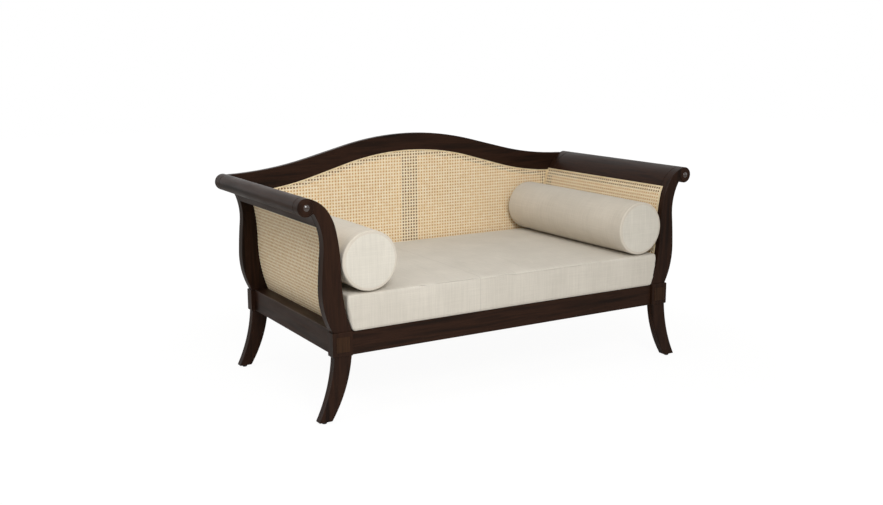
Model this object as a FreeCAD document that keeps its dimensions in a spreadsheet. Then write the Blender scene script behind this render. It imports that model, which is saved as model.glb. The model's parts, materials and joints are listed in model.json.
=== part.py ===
import FreeCAD, Part
import Sketcher

import math
import os

# A two-seat wooden sofa with scrolled arms, caned arms and back, a box cushion and two bolsters.
# Millimetres. +Z is up, +X is to the right of someone facing the sofa, and the front faces -Y.
# The origin lies on the floor under the middle of the overall box.

SIZES = {
    "overall_width": 1708,
    "arm_height": 776,
    "roll_diameter": 62,
    "roll_cove": 6,
    "arm_overhang": 111,
    "base_depth": 800,
    "block_width": 75,
    "block_depth": 42,
    "block_height": 85,
    "block_bottom": 228,
    "block_chamfer": 2,
    "edge_chamfer": 2,
    "fit_gap": 0.2,
    "leg_thickness": 34,
    "leg_setback": 2,
    "leg_head_inset": 6.5,
    "leg_head_width": 64.5,
    "leg_foot_width": 48.5,
    "leg_splay": 61,
    "leg_outer_radius": 564,
    "leg_inner_radius": 493,
    "glide_diameter": 20,
    "glide_height": 8,
    "glide_pin_diameter": 8,
    "glide_pin_length": 18,
    "stub_width": 28,
    "stub_thickness": 20,
    "stub_length": 18,
    "rail_thickness": 30,
    "rail_height": 82,
    "rail_setback": 10,
    "rail_drop": 3,
    "side_rail_thickness": 59,
    "side_rail_height": 85,
    "side_rail_setback": 16,
    "side_rail_drop": 0,
    "tenon_thickness": 14,
    "tenon_height": 38,
    "tenon_length": 20,
    "plaque_width": 50,
    "plaque_height": 54,
    "plaque_thickness": 2,
    "post_thickness": 40,
    "post_setback": 5,
    "post_foot_width": 70,
    "inner_waist_out": 35.3,
    "inner_waist_sag": 9.3,
    "inner_throat_in": 105.1,
    "inner_throat_down": 83.8,
    "inner_neck_in": 82,
    "inner_neck_down": 24.8,
    "outer_belly_out": 35.75,
    "outer_belly_sag": 10.45,
    "outer_neck_in": 57.5,
    "outer_neck_down": 158.9,
    "arm_rail_drop": 73,
    "rosette_diameter": 52,
    "rosette_thickness": 2.5,
    "button_diameter": 22,
    "button_height": 4.2,
    "peg_diameter": 10,
    "peg_length": 14,
    "back_thickness": 25,
    "crest_height": 896,
    "crest_crown_half": 300,
    "crest_crown_drop": 37.5,
    "crest_slope_run": 170,
    "crest_end_in": 8,
    "crest_end_drop": 5,
    "crest_face_height": 70,
    "crest_arch_drop": 42,
    "crest_arch_run": 150,
    "crest_tail_in": 73.5,
    "crest_tail_drop": 80.4,
    "crest_rabbet": 25,
    "front_rabbet": 3,
    "rear_rabbet": 4,
    "back_stile_out": 22,
    "back_stile_width": 43,
    "centre_stile_width": 74,
    "back_rail_height": 60,
    "back_rail_lift": 0,
    "back_screw_inset": 34,
    "back_screw_top_gap": 49.6,
    "screw_head_diameter": 8,
    "screw_head_height": 3,
    "screw_shank_diameter": 4,
    "screw_length": 38,
    "cane_thickness": 2,
    "cane_margin": 6,
    "cane_foot_lift": 12,
    "rear_cane_lap": 24,
    "arm_cane_drop": 41.4,
    "arm_cane_front_land": 25,
    "spline_width": 6,
    "spline_thickness": 2,
    "ledger_depth": 25,
    "ledger_height": 25,
    "slat_width": 70,
    "slat_thickness": 16,
    "slat_end_gap": 60,
    "brace_thickness": 22,
    "brace_leg": 80,
    "cushion_gap": 0.3,
    "cushion_side_reach": 17,
    "cushion_front_setback": -1,
    "cushion_rear_gap": 4,
    "cushion_edge_height": 127,
    "cushion_edge_round": 4,
    "cushion_crown": 4,
    "cushion_shoulder": 50,
    "cushion_dome": 1.5,
    "cushion_dome_inset": 210,
    "cushion_corner": 9,
    "cushion_taper": 20,
    "cushion_draw": 4,
    "bolster_diameter": 212,
    "bolster_rear_gap": 23,
    "bolster_pinch": 1.5,
    "bolster_dome": 3,
    "bolster_front_setback": 1,
    "bolster_side_in": 72,
}

SLAT_COUNT = 11
BACK_SCREWS_PER_STILE = 3
ROLL_JOIN_ANGLE = 217
WAIST_LEVEL = 0.4637
BELLY_LEVEL = 0.3537

doc = FreeCAD.newDocument("cane_sofa")
sheet = doc.addObject("Spreadsheet::Sheet", "dims")
for row, (alias, number) in enumerate(SIZES.items(), 1):
    sheet.set(f"A{row}", alias)
    sheet.set(f"B{row}", str(number))
    sheet.setAlias(f"B{row}", alias)
doc.recompute()


class Size:
    """A length together with the sheet expression that gives it."""

    def __init__(self, value, text):
        self.value = float(value)
        self.text = text

    def __add__(self, other):
        other = as_size(other)
        return Size(self.value + other.value, f"({self.text} + {other.text})")

    def __sub__(self, other):
        other = as_size(other)
        return Size(self.value - other.value, f"({self.text} - {other.text})")

    def __mul__(self, factor):
        return Size(self.value * factor, f"({self.text} * {factor})")

    def __truediv__(self, divisor):
        return Size(self.value / divisor, f"({self.text} / {divisor})")

    def __neg__(self):
        return Size(-self.value, f"(0 - {self.text})")


def as_size(number):
    if isinstance(number, Size):
        return number
    return Size(number, str(float(number)))


def dim(alias):
    return Size(getattr(sheet, alias), f"dims.{alias}")


def num(number):
    return number.value if isinstance(number, Size) else float(number)


def vec(point):
    return FreeCAD.Vector(num(point[0]), num(point[1]), 0)


# Places that several pieces share

zero = as_size(0)
gap = dim("fit_gap")
roll_radius = dim("roll_diameter") / 2
roll_x = dim("overall_width") / 2 - roll_radius
roll_z = dim("arm_height") - roll_radius
block_outer = dim("overall_width") / 2 - dim("arm_overhang")
block_inner = block_outer - dim("block_width")
block_bottom = dim("block_bottom")
block_top = block_bottom + dim("block_height")
block_middle = block_bottom + dim("block_height") / 2
overall_depth = dim("plaque_thickness") + dim("base_depth") - dim("post_setback") + dim("back_thickness")
base_front = dim("plaque_thickness") - overall_depth / 2
base_rear = base_front + dim("base_depth")
back_front = base_rear - dim("post_setback")
back_rear = back_front + dim("back_thickness")
rail_top = block_top - dim("rail_drop")
rail_bottom = rail_top - dim("rail_height")
front_rail_y = base_front + dim("rail_setback")
front_rail_inside = front_rail_y + dim("rail_thickness")
rear_rail_y = base_rear - dim("rail_setback")
rear_rail_inside = rear_rail_y - dim("rail_thickness")
side_rail_outer = block_outer - dim("side_rail_setback")
side_rail_inside = side_rail_outer - dim("side_rail_thickness")
side_rail_top = block_top - dim("side_rail_drop")
front_block_rear = base_front + dim("block_depth")
rear_block_front = base_rear - dim("block_depth")
front_post_y = base_front + dim("post_setback")
front_post_rear = front_post_y + dim("post_thickness")
rear_post_y = back_front - dim("post_thickness")
front_leg_y = base_front + dim("leg_setback")
rear_leg_y = base_rear - dim("leg_setback") - dim("leg_thickness")

nodes = []


def node(obj, label):
    """Names a finished sub-part, so that its shape is written under that name."""
    obj.Label = label
    nodes.append(obj)
    return obj


def bind_base(obj, x, y, z):
    for axis, place in zip("xyz", (x, y, z)):
        obj.setExpression(f"Placement.Base.{axis}", as_size(place).text)


def box(name, x, y, z):
    """A block between pairs of low and high places."""
    made = doc.addObject("Part::Box", name)
    for prop, (low, high) in (("Length", x), ("Width", y), ("Height", z)):
        made.setExpression(prop, (as_size(high) - low).text)
    bind_base(made, x[0], y[0], z[0])
    return made


def rod(name, x, y, z, radius, length):
    """A round rod that runs towards +Y from its start."""
    made = doc.addObject("Part::Cylinder", name)
    made.setExpression("Radius", radius.text)
    made.setExpression("Height", length.text)
    made.Placement.Rotation = FreeCAD.Rotation(FreeCAD.Vector(1, 0, 0), -90)
    bind_base(made, x, y, z)
    return made


def group(name, pieces):
    made = doc.addObject("Part::Compound", name)
    made.Links = pieces
    return made


def cut(name, base, tools):
    made = doc.addObject("Part::Cut", name)
    made.Base = base
    made.Tool = tools[0] if len(tools) == 1 else group(f"{name}_tools", tools)
    return made


def fuse(name, pieces):
    made = doc.addObject("Part::MultiFuse", name)
    made.Shapes = pieces
    made.Refine = True
    return made


def mirror(name, source):
    made = doc.addObject("Part::Mirroring", name)
    made.Source = source
    made.Normal = FreeCAD.Vector(1, 0, 0)
    return made


def pair(side_piece, name):
    """The right-hand piece and its mirrored left-hand twin, as two nodes."""
    node(side_piece, f"right_{name}")
    return node(mirror(f"left_{name}", side_piece), f"left_{name}")


# Outlines are lists of segments, each a line (start, end) or an arc (start, middle, end)


def arc(start, end, radius):
    """An arc that turns right of its direction for a positive radius, left for a negative one."""
    x0, z0, x1, z1 = num(start[0]), num(start[1]), num(end[0]), num(end[1])
    chord = math.hypot(x1 - x0, z1 - z0)
    turn = 2 * math.asin(chord / (2 * num(radius)))
    heading = math.atan2(x1 - x0, z1 - z0)
    bulge = chord / 2 * math.tan(turn / 4)
    middle = ((x0 + x1) / 2 - bulge * math.cos(heading), (z0 + z1) / 2 + bulge * math.sin(heading))
    return start, middle, end


def tangent_arcs(points, first_sag):
    """Arcs through the points, each tangent to the one before; the first rises by a sag off its chord."""
    segments = []
    heading = None
    for start, end in zip(points, points[1:]):
        dx = num(end[0]) - num(start[0])
        dz = num(end[1]) - num(start[1])
        chord = math.hypot(dx, dz)
        direction = math.atan2(dx, dz)
        if heading is None:
            heading = direction - 2 * math.atan(2 * num(first_sag) / chord)
        half_turn = direction - heading
        bulge = chord / 2 * math.tan(half_turn / 2)
        middle = (
            num(start[0]) + dx / 2 - bulge * math.cos(direction),
            num(start[1]) + dz / 2 + bulge * math.sin(direction),
        )
        segments.append((start, middle, end, heading, direction, direction + half_turn))
        heading = direction + half_turn
    return segments


def plain(segments):
    return [segment[:3] for segment in segments]


def reverse(segments):
    return [tuple(reversed(segment[: 3 if len(segment) > 2 else 2])) for segment in reversed(segments)]


def offset(segments, distance):
    """The same arcs moved to their right by a distance."""
    moved = []
    for start, middle, end, *headings in segments:
        points = []
        for (x, z), heading in zip((start, middle, end), headings):
            points.append((num(x) + distance * math.cos(heading), num(z) - distance * math.sin(heading)))
        moved.append(tuple(points))
    return moved


def flip(segments):
    """The segments mirrored to -X, in the opposite order."""
    return [tuple((-as_size(x), z) for x, z in segment) for segment in reverse(segments)]


def is_counter_clockwise(start, middle, end):
    first = vec(middle) - vec(start)
    second = vec(end) - vec(middle)
    return first.cross(second).z > 0


def draw(sketch, segments):
    """Puts a closed outline in a sketch and ties its corners to the sheet."""
    ends = []
    for segment in segments:
        if len(segment) == 2:
            index = sketch.addGeometry(Part.LineSegment(vec(segment[0]), vec(segment[1])))
            ends.append((index, 1, 2))
        elif is_counter_clockwise(*segment):
            index = sketch.addGeometry(Part.Arc(*[vec(point) for point in segment]))
            ends.append((index, 1, 2))
        else:
            index = sketch.addGeometry(Part.Arc(*[vec(point) for point in reversed(segment)]))
            ends.append((index, 2, 1))
    for (index, _, last), (following, first, _) in zip(ends, ends[1:] + ends[:1]):
        sketch.addConstraint(Sketcher.Constraint("Coincident", index, last, following, first))
    for segment, (index, first, _) in zip(segments, ends):
        if len(segment) == 3:
            sketch.addConstraint(Sketcher.Constraint("Radius", index, sketch.Geometry[index].Radius))
        for kind, axis, place in (("DistanceX", -2, segment[0][0]), ("DistanceY", -1, segment[0][1])):
            if abs(num(place)) < 1e-9:
                sketch.addConstraint(Sketcher.Constraint("PointOnObject", index, first, axis))
                continue
            made = sketch.addConstraint(Sketcher.Constraint(kind, -1, 1, index, first, num(place)))
            if isinstance(place, Size):
                sketch.setExpression(f"Constraints[{made}]", place.text)


def plane(body, role):
    return next(feature for feature in body.Origin.OriginFeatures if feature.Role == role)


def profile_body(name, segments):
    """A body with the outline drawn on its upright XZ plane."""
    body = doc.addObject("PartDesign::Body", name)
    sketch = body.newObject("Sketcher::SketchObject", f"{name}_outline")
    sketch.AttachmentSupport = [(plane(body, "XZ_Plane"), "")]
    sketch.MapMode = "FlatFace"
    draw(sketch, segments)
    return body, sketch


def board(name, segments, low, depth, eased=None, cove=None):
    """A board sawn to an outline through its depth in Y, with one corner coved and both faces softened."""
    body, sketch = profile_body(name, segments)
    pad = body.newObject("PartDesign::Pad", f"{name}_pad")
    pad.Profile = sketch
    pad.setExpression("Length", depth.text)
    pad.Reversed = True
    bind_base(body, zero, low, zero)
    doc.recompute()
    shaped = pad
    if cove is not None:
        shaped = body.newObject("PartDesign::Fillet", f"{name}_cove")
        shaped.Base = (pad, edge_names(pad, lambda edge: runs_through(edge, cove)))
        shaped.setExpression("Radius", dim("roll_cove").text)
        doc.recompute()
    if eased is not None:
        chamfer = body.newObject("PartDesign::Chamfer", f"{name}_chamfer")
        chamfer.Base = (shaped, edge_names(shaped, lambda edge: edge.BoundBox.YLength < 0.001
                                           < edge.BoundBox.ZLength))
        chamfer.setExpression("Size", eased.text)
        doc.recompute()
    return body


def edge_names(feature, wanted):
    return [f"Edge{i}" for i, edge in enumerate(feature.Shape.Edges, 1) if wanted(edge)]


def runs_through(edge, corner):
    """True for the straight edge in Y that crosses the outline at the corner."""
    middle = edge.BoundBox.Center
    return edge.BoundBox.YLength > 1 and math.dist((middle.x, middle.z), [num(c) for c in corner]) < 0.01


def turned(name, segments, direction, x, y, z):
    """A turned piece: the outline (radius, distance along the axis) spun about the axis."""
    body, sketch = profile_body(name, segments)
    spun = body.newObject("PartDesign::Revolution", f"{name}_spin")
    spun.Profile = sketch
    spun.ReferenceAxis = (sketch, ["V_Axis"])
    spun.Angle = 360
    turns = {"up": 0, "rear": -90, "front": 90}
    body.Placement.Rotation = FreeCAD.Rotation(FreeCAD.Vector(1, 0, 0), turns[direction])
    bind_base(body, x, y, z)
    return body


def lines(points):
    return list(zip(points, points[1:] + points[:1]))


def prism(segments, low, depth):
    """A plain solid with the outline as its face, from low towards +Y."""
    edges = []
    for segment in segments:
        points = [FreeCAD.Vector(num(x), num(low), num(z)) for x, z in segment]
        edges.append(Part.makeLine(*points) if len(points) == 2 else Part.Arc(*points).toShape())
    face = Part.Face(Part.Wire(edges))
    return face.extrude(FreeCAD.Vector(0, num(depth), 0))


def slab(low, high):
    corner = [num(a) for a in low]
    size = [num(b) - num(a) for a, b in zip(low, high)]
    return Part.makeBox(*size, FreeCAD.Vector(*corner))


def solid(name, shape):
    made = doc.addObject("Part::Feature", name)
    made.Shape = shape
    return made


# Arm profile: the inner edge rises from the block to the top of the roll, the outer edge to its underside

post_foot_inner = (block_inner, block_top)
post_foot_outer = (block_inner + dim("post_foot_width"), block_top)


def on_roll(degrees):
    angle = math.radians(degrees)
    return roll_x + roll_radius * math.cos(angle), roll_z + roll_radius * math.sin(angle)


def roll_meeting(points, first_sag):
    """The angle on the roll where one more tangent arc from the last point runs smoothly into it."""
    heading = tangent_arcs(points, first_sag)[-1][-1]
    low, high = 90, 150
    for _ in range(60):
        middle = (low + high) / 2
        x, z = on_roll(middle)
        direction = math.atan2(num(x) - num(points[-1][0]), num(z) - num(points[-1][1]))
        if 2 * direction - heading + math.radians(middle) > math.pi:
            high = middle
        else:
            low = middle
    return low


arm_rise = roll_z - block_top
inner_points = [
    post_foot_inner,
    (block_inner + dim("inner_waist_out"), block_top + arm_rise * WAIST_LEVEL),
    (roll_x - dim("inner_throat_in"), roll_z - dim("inner_throat_down")),
    (roll_x - dim("inner_neck_in"), roll_z - dim("inner_neck_down")),
]
roll_meet_angle = roll_meeting(inner_points, -dim("inner_waist_sag"))
roll_crown = on_roll(roll_meet_angle)
roll_underside = on_roll(ROLL_JOIN_ANGLE)
roll_side = on_roll((roll_meet_angle + ROLL_JOIN_ANGLE - 360) / 2)
inner_edge = tangent_arcs(inner_points + [roll_crown], -dim("inner_waist_sag"))
outer_edge = tangent_arcs(
    [
        post_foot_outer,
        (post_foot_outer[0] + dim("outer_belly_out"), block_top + arm_rise * BELLY_LEVEL),
        (roll_x - dim("outer_neck_in"), roll_z - dim("outer_neck_down")),
        roll_underside,
    ],
    -dim("outer_belly_sag"),
)
roll_head = [
    arc(roll_crown, roll_side, roll_radius),
    arc(roll_side, roll_underside, roll_radius),
]
arm_outline = plain(inner_edge) + roll_head + reverse(outer_edge) + [(post_foot_outer, post_foot_inner)]


def inner_band(near, far, y, z):
    """The layer between two distances from the arm's inner edge, within ranges of Y and Z."""
    near_edge = offset(inner_edge, near)
    far_edge = offset(inner_edge, far)
    outline = near_edge + [(near_edge[-1][2], far_edge[-1][2])] + reverse(far_edge)
    outline += [(far_edge[0][0], near_edge[0][0])]
    layer = prism(outline, y[0], as_size(y[1]) - y[0])
    reach = layer.BoundBox
    return layer.common(slab((reach.XMin, y[0], z[0]), (reach.XMax, y[1], z[1])))


# Corner blocks, with mortises for two rails, the post and the leg

stub_x = (
    block_inner + (dim("block_width") - dim("stub_width")) / 2,
    block_inner + (dim("block_width") + dim("stub_width")) / 2,
)
tenon_z = (block_middle - dim("tenon_height") / 2, block_middle + dim("tenon_height") / 2)


def grown(low_high, by=gap):
    return low_high[0] - by, low_high[1] + by


def centred(middle, width):
    return middle - width / 2, middle + width / 2


leg_stub_z = (block_bottom, block_bottom + dim("stub_length"))
post_stub_z = (block_top - dim("stub_length"), block_top)
front_tenon_y = centred(front_rail_y + dim("rail_thickness") / 2, dim("tenon_thickness"))
rear_tenon_y = centred(rear_rail_y - dim("rail_thickness") / 2, dim("tenon_thickness"))
front_tenon_x = (block_inner, block_inner + dim("tenon_length"))
side_tenon_x = centred(side_rail_outer - dim("side_rail_thickness") / 2, dim("tenon_thickness"))
front_side_tenon_y = (front_block_rear - dim("tenon_length"), front_block_rear)
rear_side_tenon_y = (rear_block_front, rear_block_front + dim("tenon_length"))

CORNERS = {
    "front": {
        "block_y": (base_front, front_block_rear),
        "leg_y": (front_leg_y, front_leg_y + dim("leg_thickness")),
        "post_y": (front_post_y, front_post_rear),
        "rail_tenon_y": front_tenon_y,
        "side_tenon_y": front_side_tenon_y,
    },
    "rear": {
        "block_y": (rear_block_front, base_rear),
        "leg_y": (rear_leg_y, rear_leg_y + dim("leg_thickness")),
        "post_y": (rear_post_y, back_front),
        "rail_tenon_y": rear_tenon_y,
        "side_tenon_y": rear_side_tenon_y,
    },
}


def stub_y(low_high):
    return centred((low_high[0] + low_high[1]) / 2, dim("stub_thickness"))


def corner_block(end):
    place = CORNERS[end]
    name = f"{end}_block"
    corners = [
        (block_inner, block_bottom),
        (block_outer, block_bottom),
        (block_outer, block_top),
        (block_inner, block_top),
    ]
    body, sketch = profile_body(f"{name}_body", lines(corners))
    pad = body.newObject("PartDesign::Pad", f"{name}_pad")
    pad.Profile = sketch
    pad.setExpression("Length", dim("block_depth").text)
    pad.Reversed = True
    bind_base(body, zero, place["block_y"][0], zero)
    doc.recompute()
    chamfer = body.newObject("PartDesign::Chamfer", f"{name}_chamfer")
    chamfer.Base = (pad, edge_names(pad, lambda edge: edge.BoundBox.ZLength < 0.001))
    chamfer.setExpression("Size", dim("block_chamfer").text)
    deep = dim("tenon_length") + gap
    side_y = place["side_tenon_y"]
    mortise_y = (side_y[0] - gap, side_y[1]) if end == "front" else (side_y[0], side_y[1] + gap)
    mortises = [
        box(f"{name}_leg_mortise", grown(stub_x), grown(stub_y(place["leg_y"])),
            (block_bottom, leg_stub_z[1] + gap)),
        box(f"{name}_post_mortise", grown(stub_x), grown(stub_y(place["post_y"])),
            (post_stub_z[0] - gap, block_top)),
        box(f"{name}_rail_mortise", (block_inner, block_inner + deep), grown(place["rail_tenon_y"]),
            grown(tenon_z)),
        box(f"{name}_side_mortise", grown(side_tenon_x), mortise_y, grown(tenon_z)),
    ]
    return cut(f"{name}_cut", body, mortises)


for end in CORNERS:
    pair(corner_block(end), f"{end}_block")

# Sabre legs with a stub tenon on top and a hole for the glide's pin underneath

leg_outer_top = (block_outer - dim("leg_head_inset"), block_bottom)
leg_inner_top = (leg_outer_top[0] - dim("leg_head_width"), block_bottom)
leg_outer_foot = (leg_outer_top[0] + dim("leg_splay"), dim("glide_height"))
leg_inner_foot = (leg_outer_foot[0] - dim("leg_foot_width"), dim("glide_height"))
foot_x = leg_outer_foot[0] - dim("leg_foot_width") / 2
leg_outline = [
    arc(leg_outer_top, leg_outer_foot, -dim("leg_outer_radius")),
    (leg_outer_foot, leg_inner_foot),
    arc(leg_inner_foot, leg_inner_top, dim("leg_inner_radius")),
    (leg_inner_top, leg_outer_top),
]


def foot_y(end):
    low, high = CORNERS[end]["leg_y"]
    return (low + high) / 2


def leg(end):
    name = f"{end}_leg"
    low, high = CORNERS[end]["leg_y"]
    body = board(f"{name}_body", leg_outline, low, high - low, dim("edge_chamfer"))
    stub = box(f"{name}_stub", stub_x, stub_y((low, high)), leg_stub_z)
    hole = doc.addObject("Part::Cylinder", f"{name}_hole")
    hole.setExpression("Radius", (dim("glide_pin_diameter") / 2 + gap).text)
    hole.setExpression("Height", (dim("glide_pin_length") + gap).text)
    bind_base(hole, foot_x, foot_y(end), dim("glide_height"))
    return cut(f"{name}_cut", fuse(f"{name}_whole", [body, stub]), [hole])


for end in CORNERS:
    pair(leg(end), f"{end}_leg")

# Glides: a domed pad with a pin that is driven into the leg

glide_radius = dim("glide_diameter") / 2
glide_pin_radius = dim("glide_pin_diameter") / 2
glide_top = dim("glide_height")
glide_flat = glide_radius * 0.8
glide_outline = lines(
    [
        (zero, zero),
        (glide_flat, zero),
        (glide_radius, glide_top * 0.4),
        (glide_radius, glide_top),
        (glide_pin_radius, glide_top),
        (glide_pin_radius, glide_top + dim("glide_pin_length")),
        (zero, glide_top + dim("glide_pin_length")),
    ]
)
glides = []
for end in CORNERS:
    right = turned(f"{end}_glide", glide_outline, "up", foot_x, foot_y(end), zero)
    glides += [right, mirror(f"{end}_glide_twin", right)]
node(group("foot_glides", glides), "foot_glides")

# Scrolled posts, rabbeted on the inside for the cane, with a peg hole in the scroll

cane_foot = block_top
cane_top = roll_z - dim("arm_cane_drop")
cane_front = front_post_y + dim("arm_cane_front_land")
rabbet = dim("front_rabbet")
seat_reach = dim("post_thickness") + dim("block_width")
arm_rabbet = solid(
    "arm_rabbet",
    inner_band(-num(rabbet), num(rabbet), (cane_front, back_front), (cane_foot, cane_top)),
)
peg_radius = dim("peg_diameter") / 2
peg_hole_radius = peg_radius + gap
peg_hole_length = dim("peg_length") + gap
back_stile_inner = block_inner + dim("back_stile_out")
screw_x = back_stile_inner + dim("back_screw_inset")
crest_underside = dim("arm_height") - dim("crest_tail_drop") - dim("crest_rabbet")
screw_run = crest_underside - dim("back_screw_top_gap") - block_top
screw_z = [
    block_top + screw_run * (turn / BACK_SCREWS_PER_STILE) for turn in range(1, BACK_SCREWS_PER_STILE + 1)
]
stile_rear = back_rear - dim("rear_rabbet")
stile_front = back_front + dim("front_rabbet")


def screw(name, z, clearance):
    """A screw with a flat head, driven towards -Y from the rear face of the back frame."""
    tip = stile_rear - dim("screw_length")
    head_start = stile_rear - dim("screw_head_height")
    shank = rod(f"{name}_shank", screw_x, tip - clearance, z,
                dim("screw_shank_diameter") / 2 + clearance, head_start - tip + clearance)
    head = rod(f"{name}_head", screw_x, head_start - clearance, z,
               dim("screw_head_diameter") / 2 + clearance, dim("screw_head_height") + clearance)
    return fuse(name, [shank, head])


screw_holes = group(
    "back_screw_holes", [screw(f"screw_hole_{i}", z, gap) for i, z in enumerate(screw_z, 1)]
)


def post(end):
    name = f"{end}_post"
    low, high = CORNERS[end]["post_y"]
    body = board(f"{name}_body", arm_outline, low, high - low, dim("edge_chamfer"), roll_underside)
    stub = box(f"{name}_stub", stub_x, stub_y((low, high)), post_stub_z)
    hole_start = low if end == "front" else high - peg_hole_length
    peg_hole = rod(f"{name}_peg_hole", roll_x, hole_start, roll_z, peg_hole_radius, peg_hole_length)
    tools = [arm_rabbet, peg_hole] + ([screw_holes] if end == "rear" else [])
    return fuse(f"{name}_whole", [cut(f"{name}_cut", body, tools), stub])


for end in CORNERS:
    pair(post(end), f"{end}_post")

# Moulded arm top rail: the roll and the curved board under it, between the two posts

arm_length = rear_post_y - front_post_rear
arm_rail_bottom = roll_z - dim("arm_rail_drop")
arm_rail_body = board("arm_rail_body", arm_outline, front_post_rear, arm_length, None, roll_underside)
below_rail = box(
    "arm_rail_trim",
    (block_inner - seat_reach, roll_x + seat_reach),
    (front_post_rear, rear_post_y),
    (zero, arm_rail_bottom),
)
pair(cut("arm_rail_cut", arm_rail_body, [below_rail, arm_rabbet]), "arm_top_rail")

# Turned rosettes on the scrolls in front and rounded caps behind them, each on a peg

rosette_radius = dim("rosette_diameter") / 2
button_radius = dim("button_diameter") / 2
rosette_face = dim("rosette_thickness")
button_top = rosette_face + dim("button_height")
button_sphere = (button_radius * (num(button_radius) / num(dim("button_height")))
                 + dim("button_height")) / 2
rosette_outline = [
    ((zero, -dim("peg_length")), (peg_radius, -dim("peg_length"))),
    ((peg_radius, -dim("peg_length")), (peg_radius, zero)),
    ((peg_radius, zero), (rosette_radius, zero)),
    ((rosette_radius, zero), (rosette_radius * 0.94, rosette_face)),
    ((rosette_radius * 0.94, rosette_face), (button_radius, rosette_face)),
    arc((button_radius, rosette_face), (zero, button_top), -button_sphere),
    ((zero, button_top), (zero, -dim("peg_length"))),
]
pair(turned("rosette", rosette_outline, "front", roll_x, front_post_y, roll_z), "rosette")

cap_length = dim("back_thickness")
cap_dome = roll_radius * 0.5
cap_sphere = (roll_radius * (num(roll_radius) / num(cap_dome)) + cap_dome) / 2
cap_outline = [
    ((zero, -dim("peg_length")), (peg_radius, -dim("peg_length"))),
    ((peg_radius, -dim("peg_length")), (peg_radius, zero)),
    ((peg_radius, zero), (roll_radius, zero)),
    ((roll_radius, zero), (roll_radius, cap_length - cap_dome)),
    arc((roll_radius, cap_length - cap_dome), (zero, cap_length), -cap_sphere),
    ((zero, cap_length), (zero, -dim("peg_length"))),
]
pair(turned("roll_cap", cap_outline, "rear", roll_x, back_front, roll_z), "roll_cap")

# Seat rails with tenons, and square plaques on the front blocks


def long_rail(name, y, tenon_y):
    beam = box(f"{name}_beam", (-block_inner, block_inner), y, (rail_bottom, rail_top))
    tenon = box(f"{name}_tenon", front_tenon_x, tenon_y, tenon_z)
    twin = mirror(f"{name}_tenon_twin", tenon)
    return node(fuse(f"{name}_whole", [beam, tenon, twin]), name)


long_rail("front_seat_rail", (front_rail_y, front_rail_inside), front_tenon_y)
long_rail("rear_seat_rail", (rear_rail_inside, rear_rail_y), rear_tenon_y)

side_rail = fuse(
    "side_rail_whole",
    [
        box("side_rail_beam", (side_rail_inside, side_rail_outer), (front_block_rear, rear_block_front),
            (side_rail_top - dim("side_rail_height"), side_rail_top)),
        box("side_rail_front_tenon", side_tenon_x, front_side_tenon_y, tenon_z),
        box("side_rail_rear_tenon", side_tenon_x, rear_side_tenon_y, tenon_z),
    ],
)
pair(side_rail, "side_rail")

plaque = box(
    "plaque",
    centred((block_inner + block_outer) / 2, dim("plaque_width")),
    (base_front - dim("plaque_thickness"), base_front),
    centred(block_middle, dim("plaque_height")),
)
pair(plaque, "block_plaque")

# Ledgers, slats and corner braces under the cushion

slat_bottom = rail_top - dim("slat_thickness")
ledger_z = (slat_bottom - dim("ledger_height"), slat_bottom)
front_ledger_y = (front_rail_inside, front_rail_inside + dim("ledger_depth"))
rear_ledger_y = (rear_rail_inside - dim("ledger_depth"), rear_rail_inside)
node(box("front_ledger", (-block_inner, block_inner), front_ledger_y, ledger_z), "front_ledger")
node(box("rear_ledger", (-block_inner, block_inner), rear_ledger_y, ledger_z), "rear_ledger")
slat_span = block_inner - dim("slat_end_gap")
slats = []
for count in range(SLAT_COUNT):
    middle = slat_span * (2 * count / (SLAT_COUNT - 1) - 1)
    slats.append(
        box(f"slat_{count + 1}", centred(middle, dim("slat_width")),
            (front_rail_inside, rear_rail_inside), (slat_bottom, rail_top))
    )
node(group("seat_slats", slats), "seat_slats")


def corner_brace(end):
    """A three-cornered block in a corner of the seat frame, below the ledger."""
    name = f"{end}_brace"
    rail_y = front_rail_inside if end == "front" else rear_rail_inside
    far_y = rail_y + dim("brace_leg") if end == "front" else rail_y - dim("brace_leg")
    points = [(block_inner - dim("brace_leg"), rail_y), (block_inner, rail_y), (block_inner, far_y)]
    body = doc.addObject("PartDesign::Body", name)
    sketch = body.newObject("Sketcher::SketchObject", f"{name}_outline")
    sketch.AttachmentSupport = [(plane(body, "XY_Plane"), "")]
    sketch.MapMode = "FlatFace"
    draw(sketch, lines(points))
    pad = body.newObject("PartDesign::Pad", f"{name}_pad")
    pad.Profile = sketch
    pad.setExpression("Length", dim("brace_thickness").text)
    bind_base(body, zero, zero, ledger_z[0] - dim("brace_thickness"))
    return body


for end in CORNERS:
    pair(corner_brace(end), f"{end}_brace")

# Back frame behind the rear posts: crest rail, stiles and bottom rail


def camel_curve(peak, crown_half, crown_drop, slope_run, end):
    """The right half of the crest's line: a crown, a straight slope and a long hollow curve."""
    shoulder = (crown_half, peak - crown_drop)
    half, drop = num(crown_half), num(crown_drop)
    crown_sag = math.hypot(half, drop) / 2 * math.tan(math.atan2(drop, half) / 2)
    fall = math.tan(2 * math.atan2(drop, half))
    slope_end = (shoulder[0] + slope_run, shoulder[1] - slope_run * fall)
    return tangent_arcs([(zero, peak), shoulder, slope_end, end], crown_sag)


crest_end = (roll_x - dim("crest_end_in"), dim("arm_height") - dim("crest_end_drop"))
crest_tail = (roll_x - dim("crest_tail_in"), dim("arm_height") - dim("crest_tail_drop"))
crest_line = camel_curve(dim("crest_height"), dim("crest_crown_half"), dim("crest_crown_drop"),
                         dim("crest_slope_run"), crest_end)
arch_line = camel_curve(dim("crest_height") - dim("crest_face_height"), dim("crest_crown_half"),
                        dim("crest_arch_drop"), dim("crest_arch_run"), crest_tail)


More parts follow.
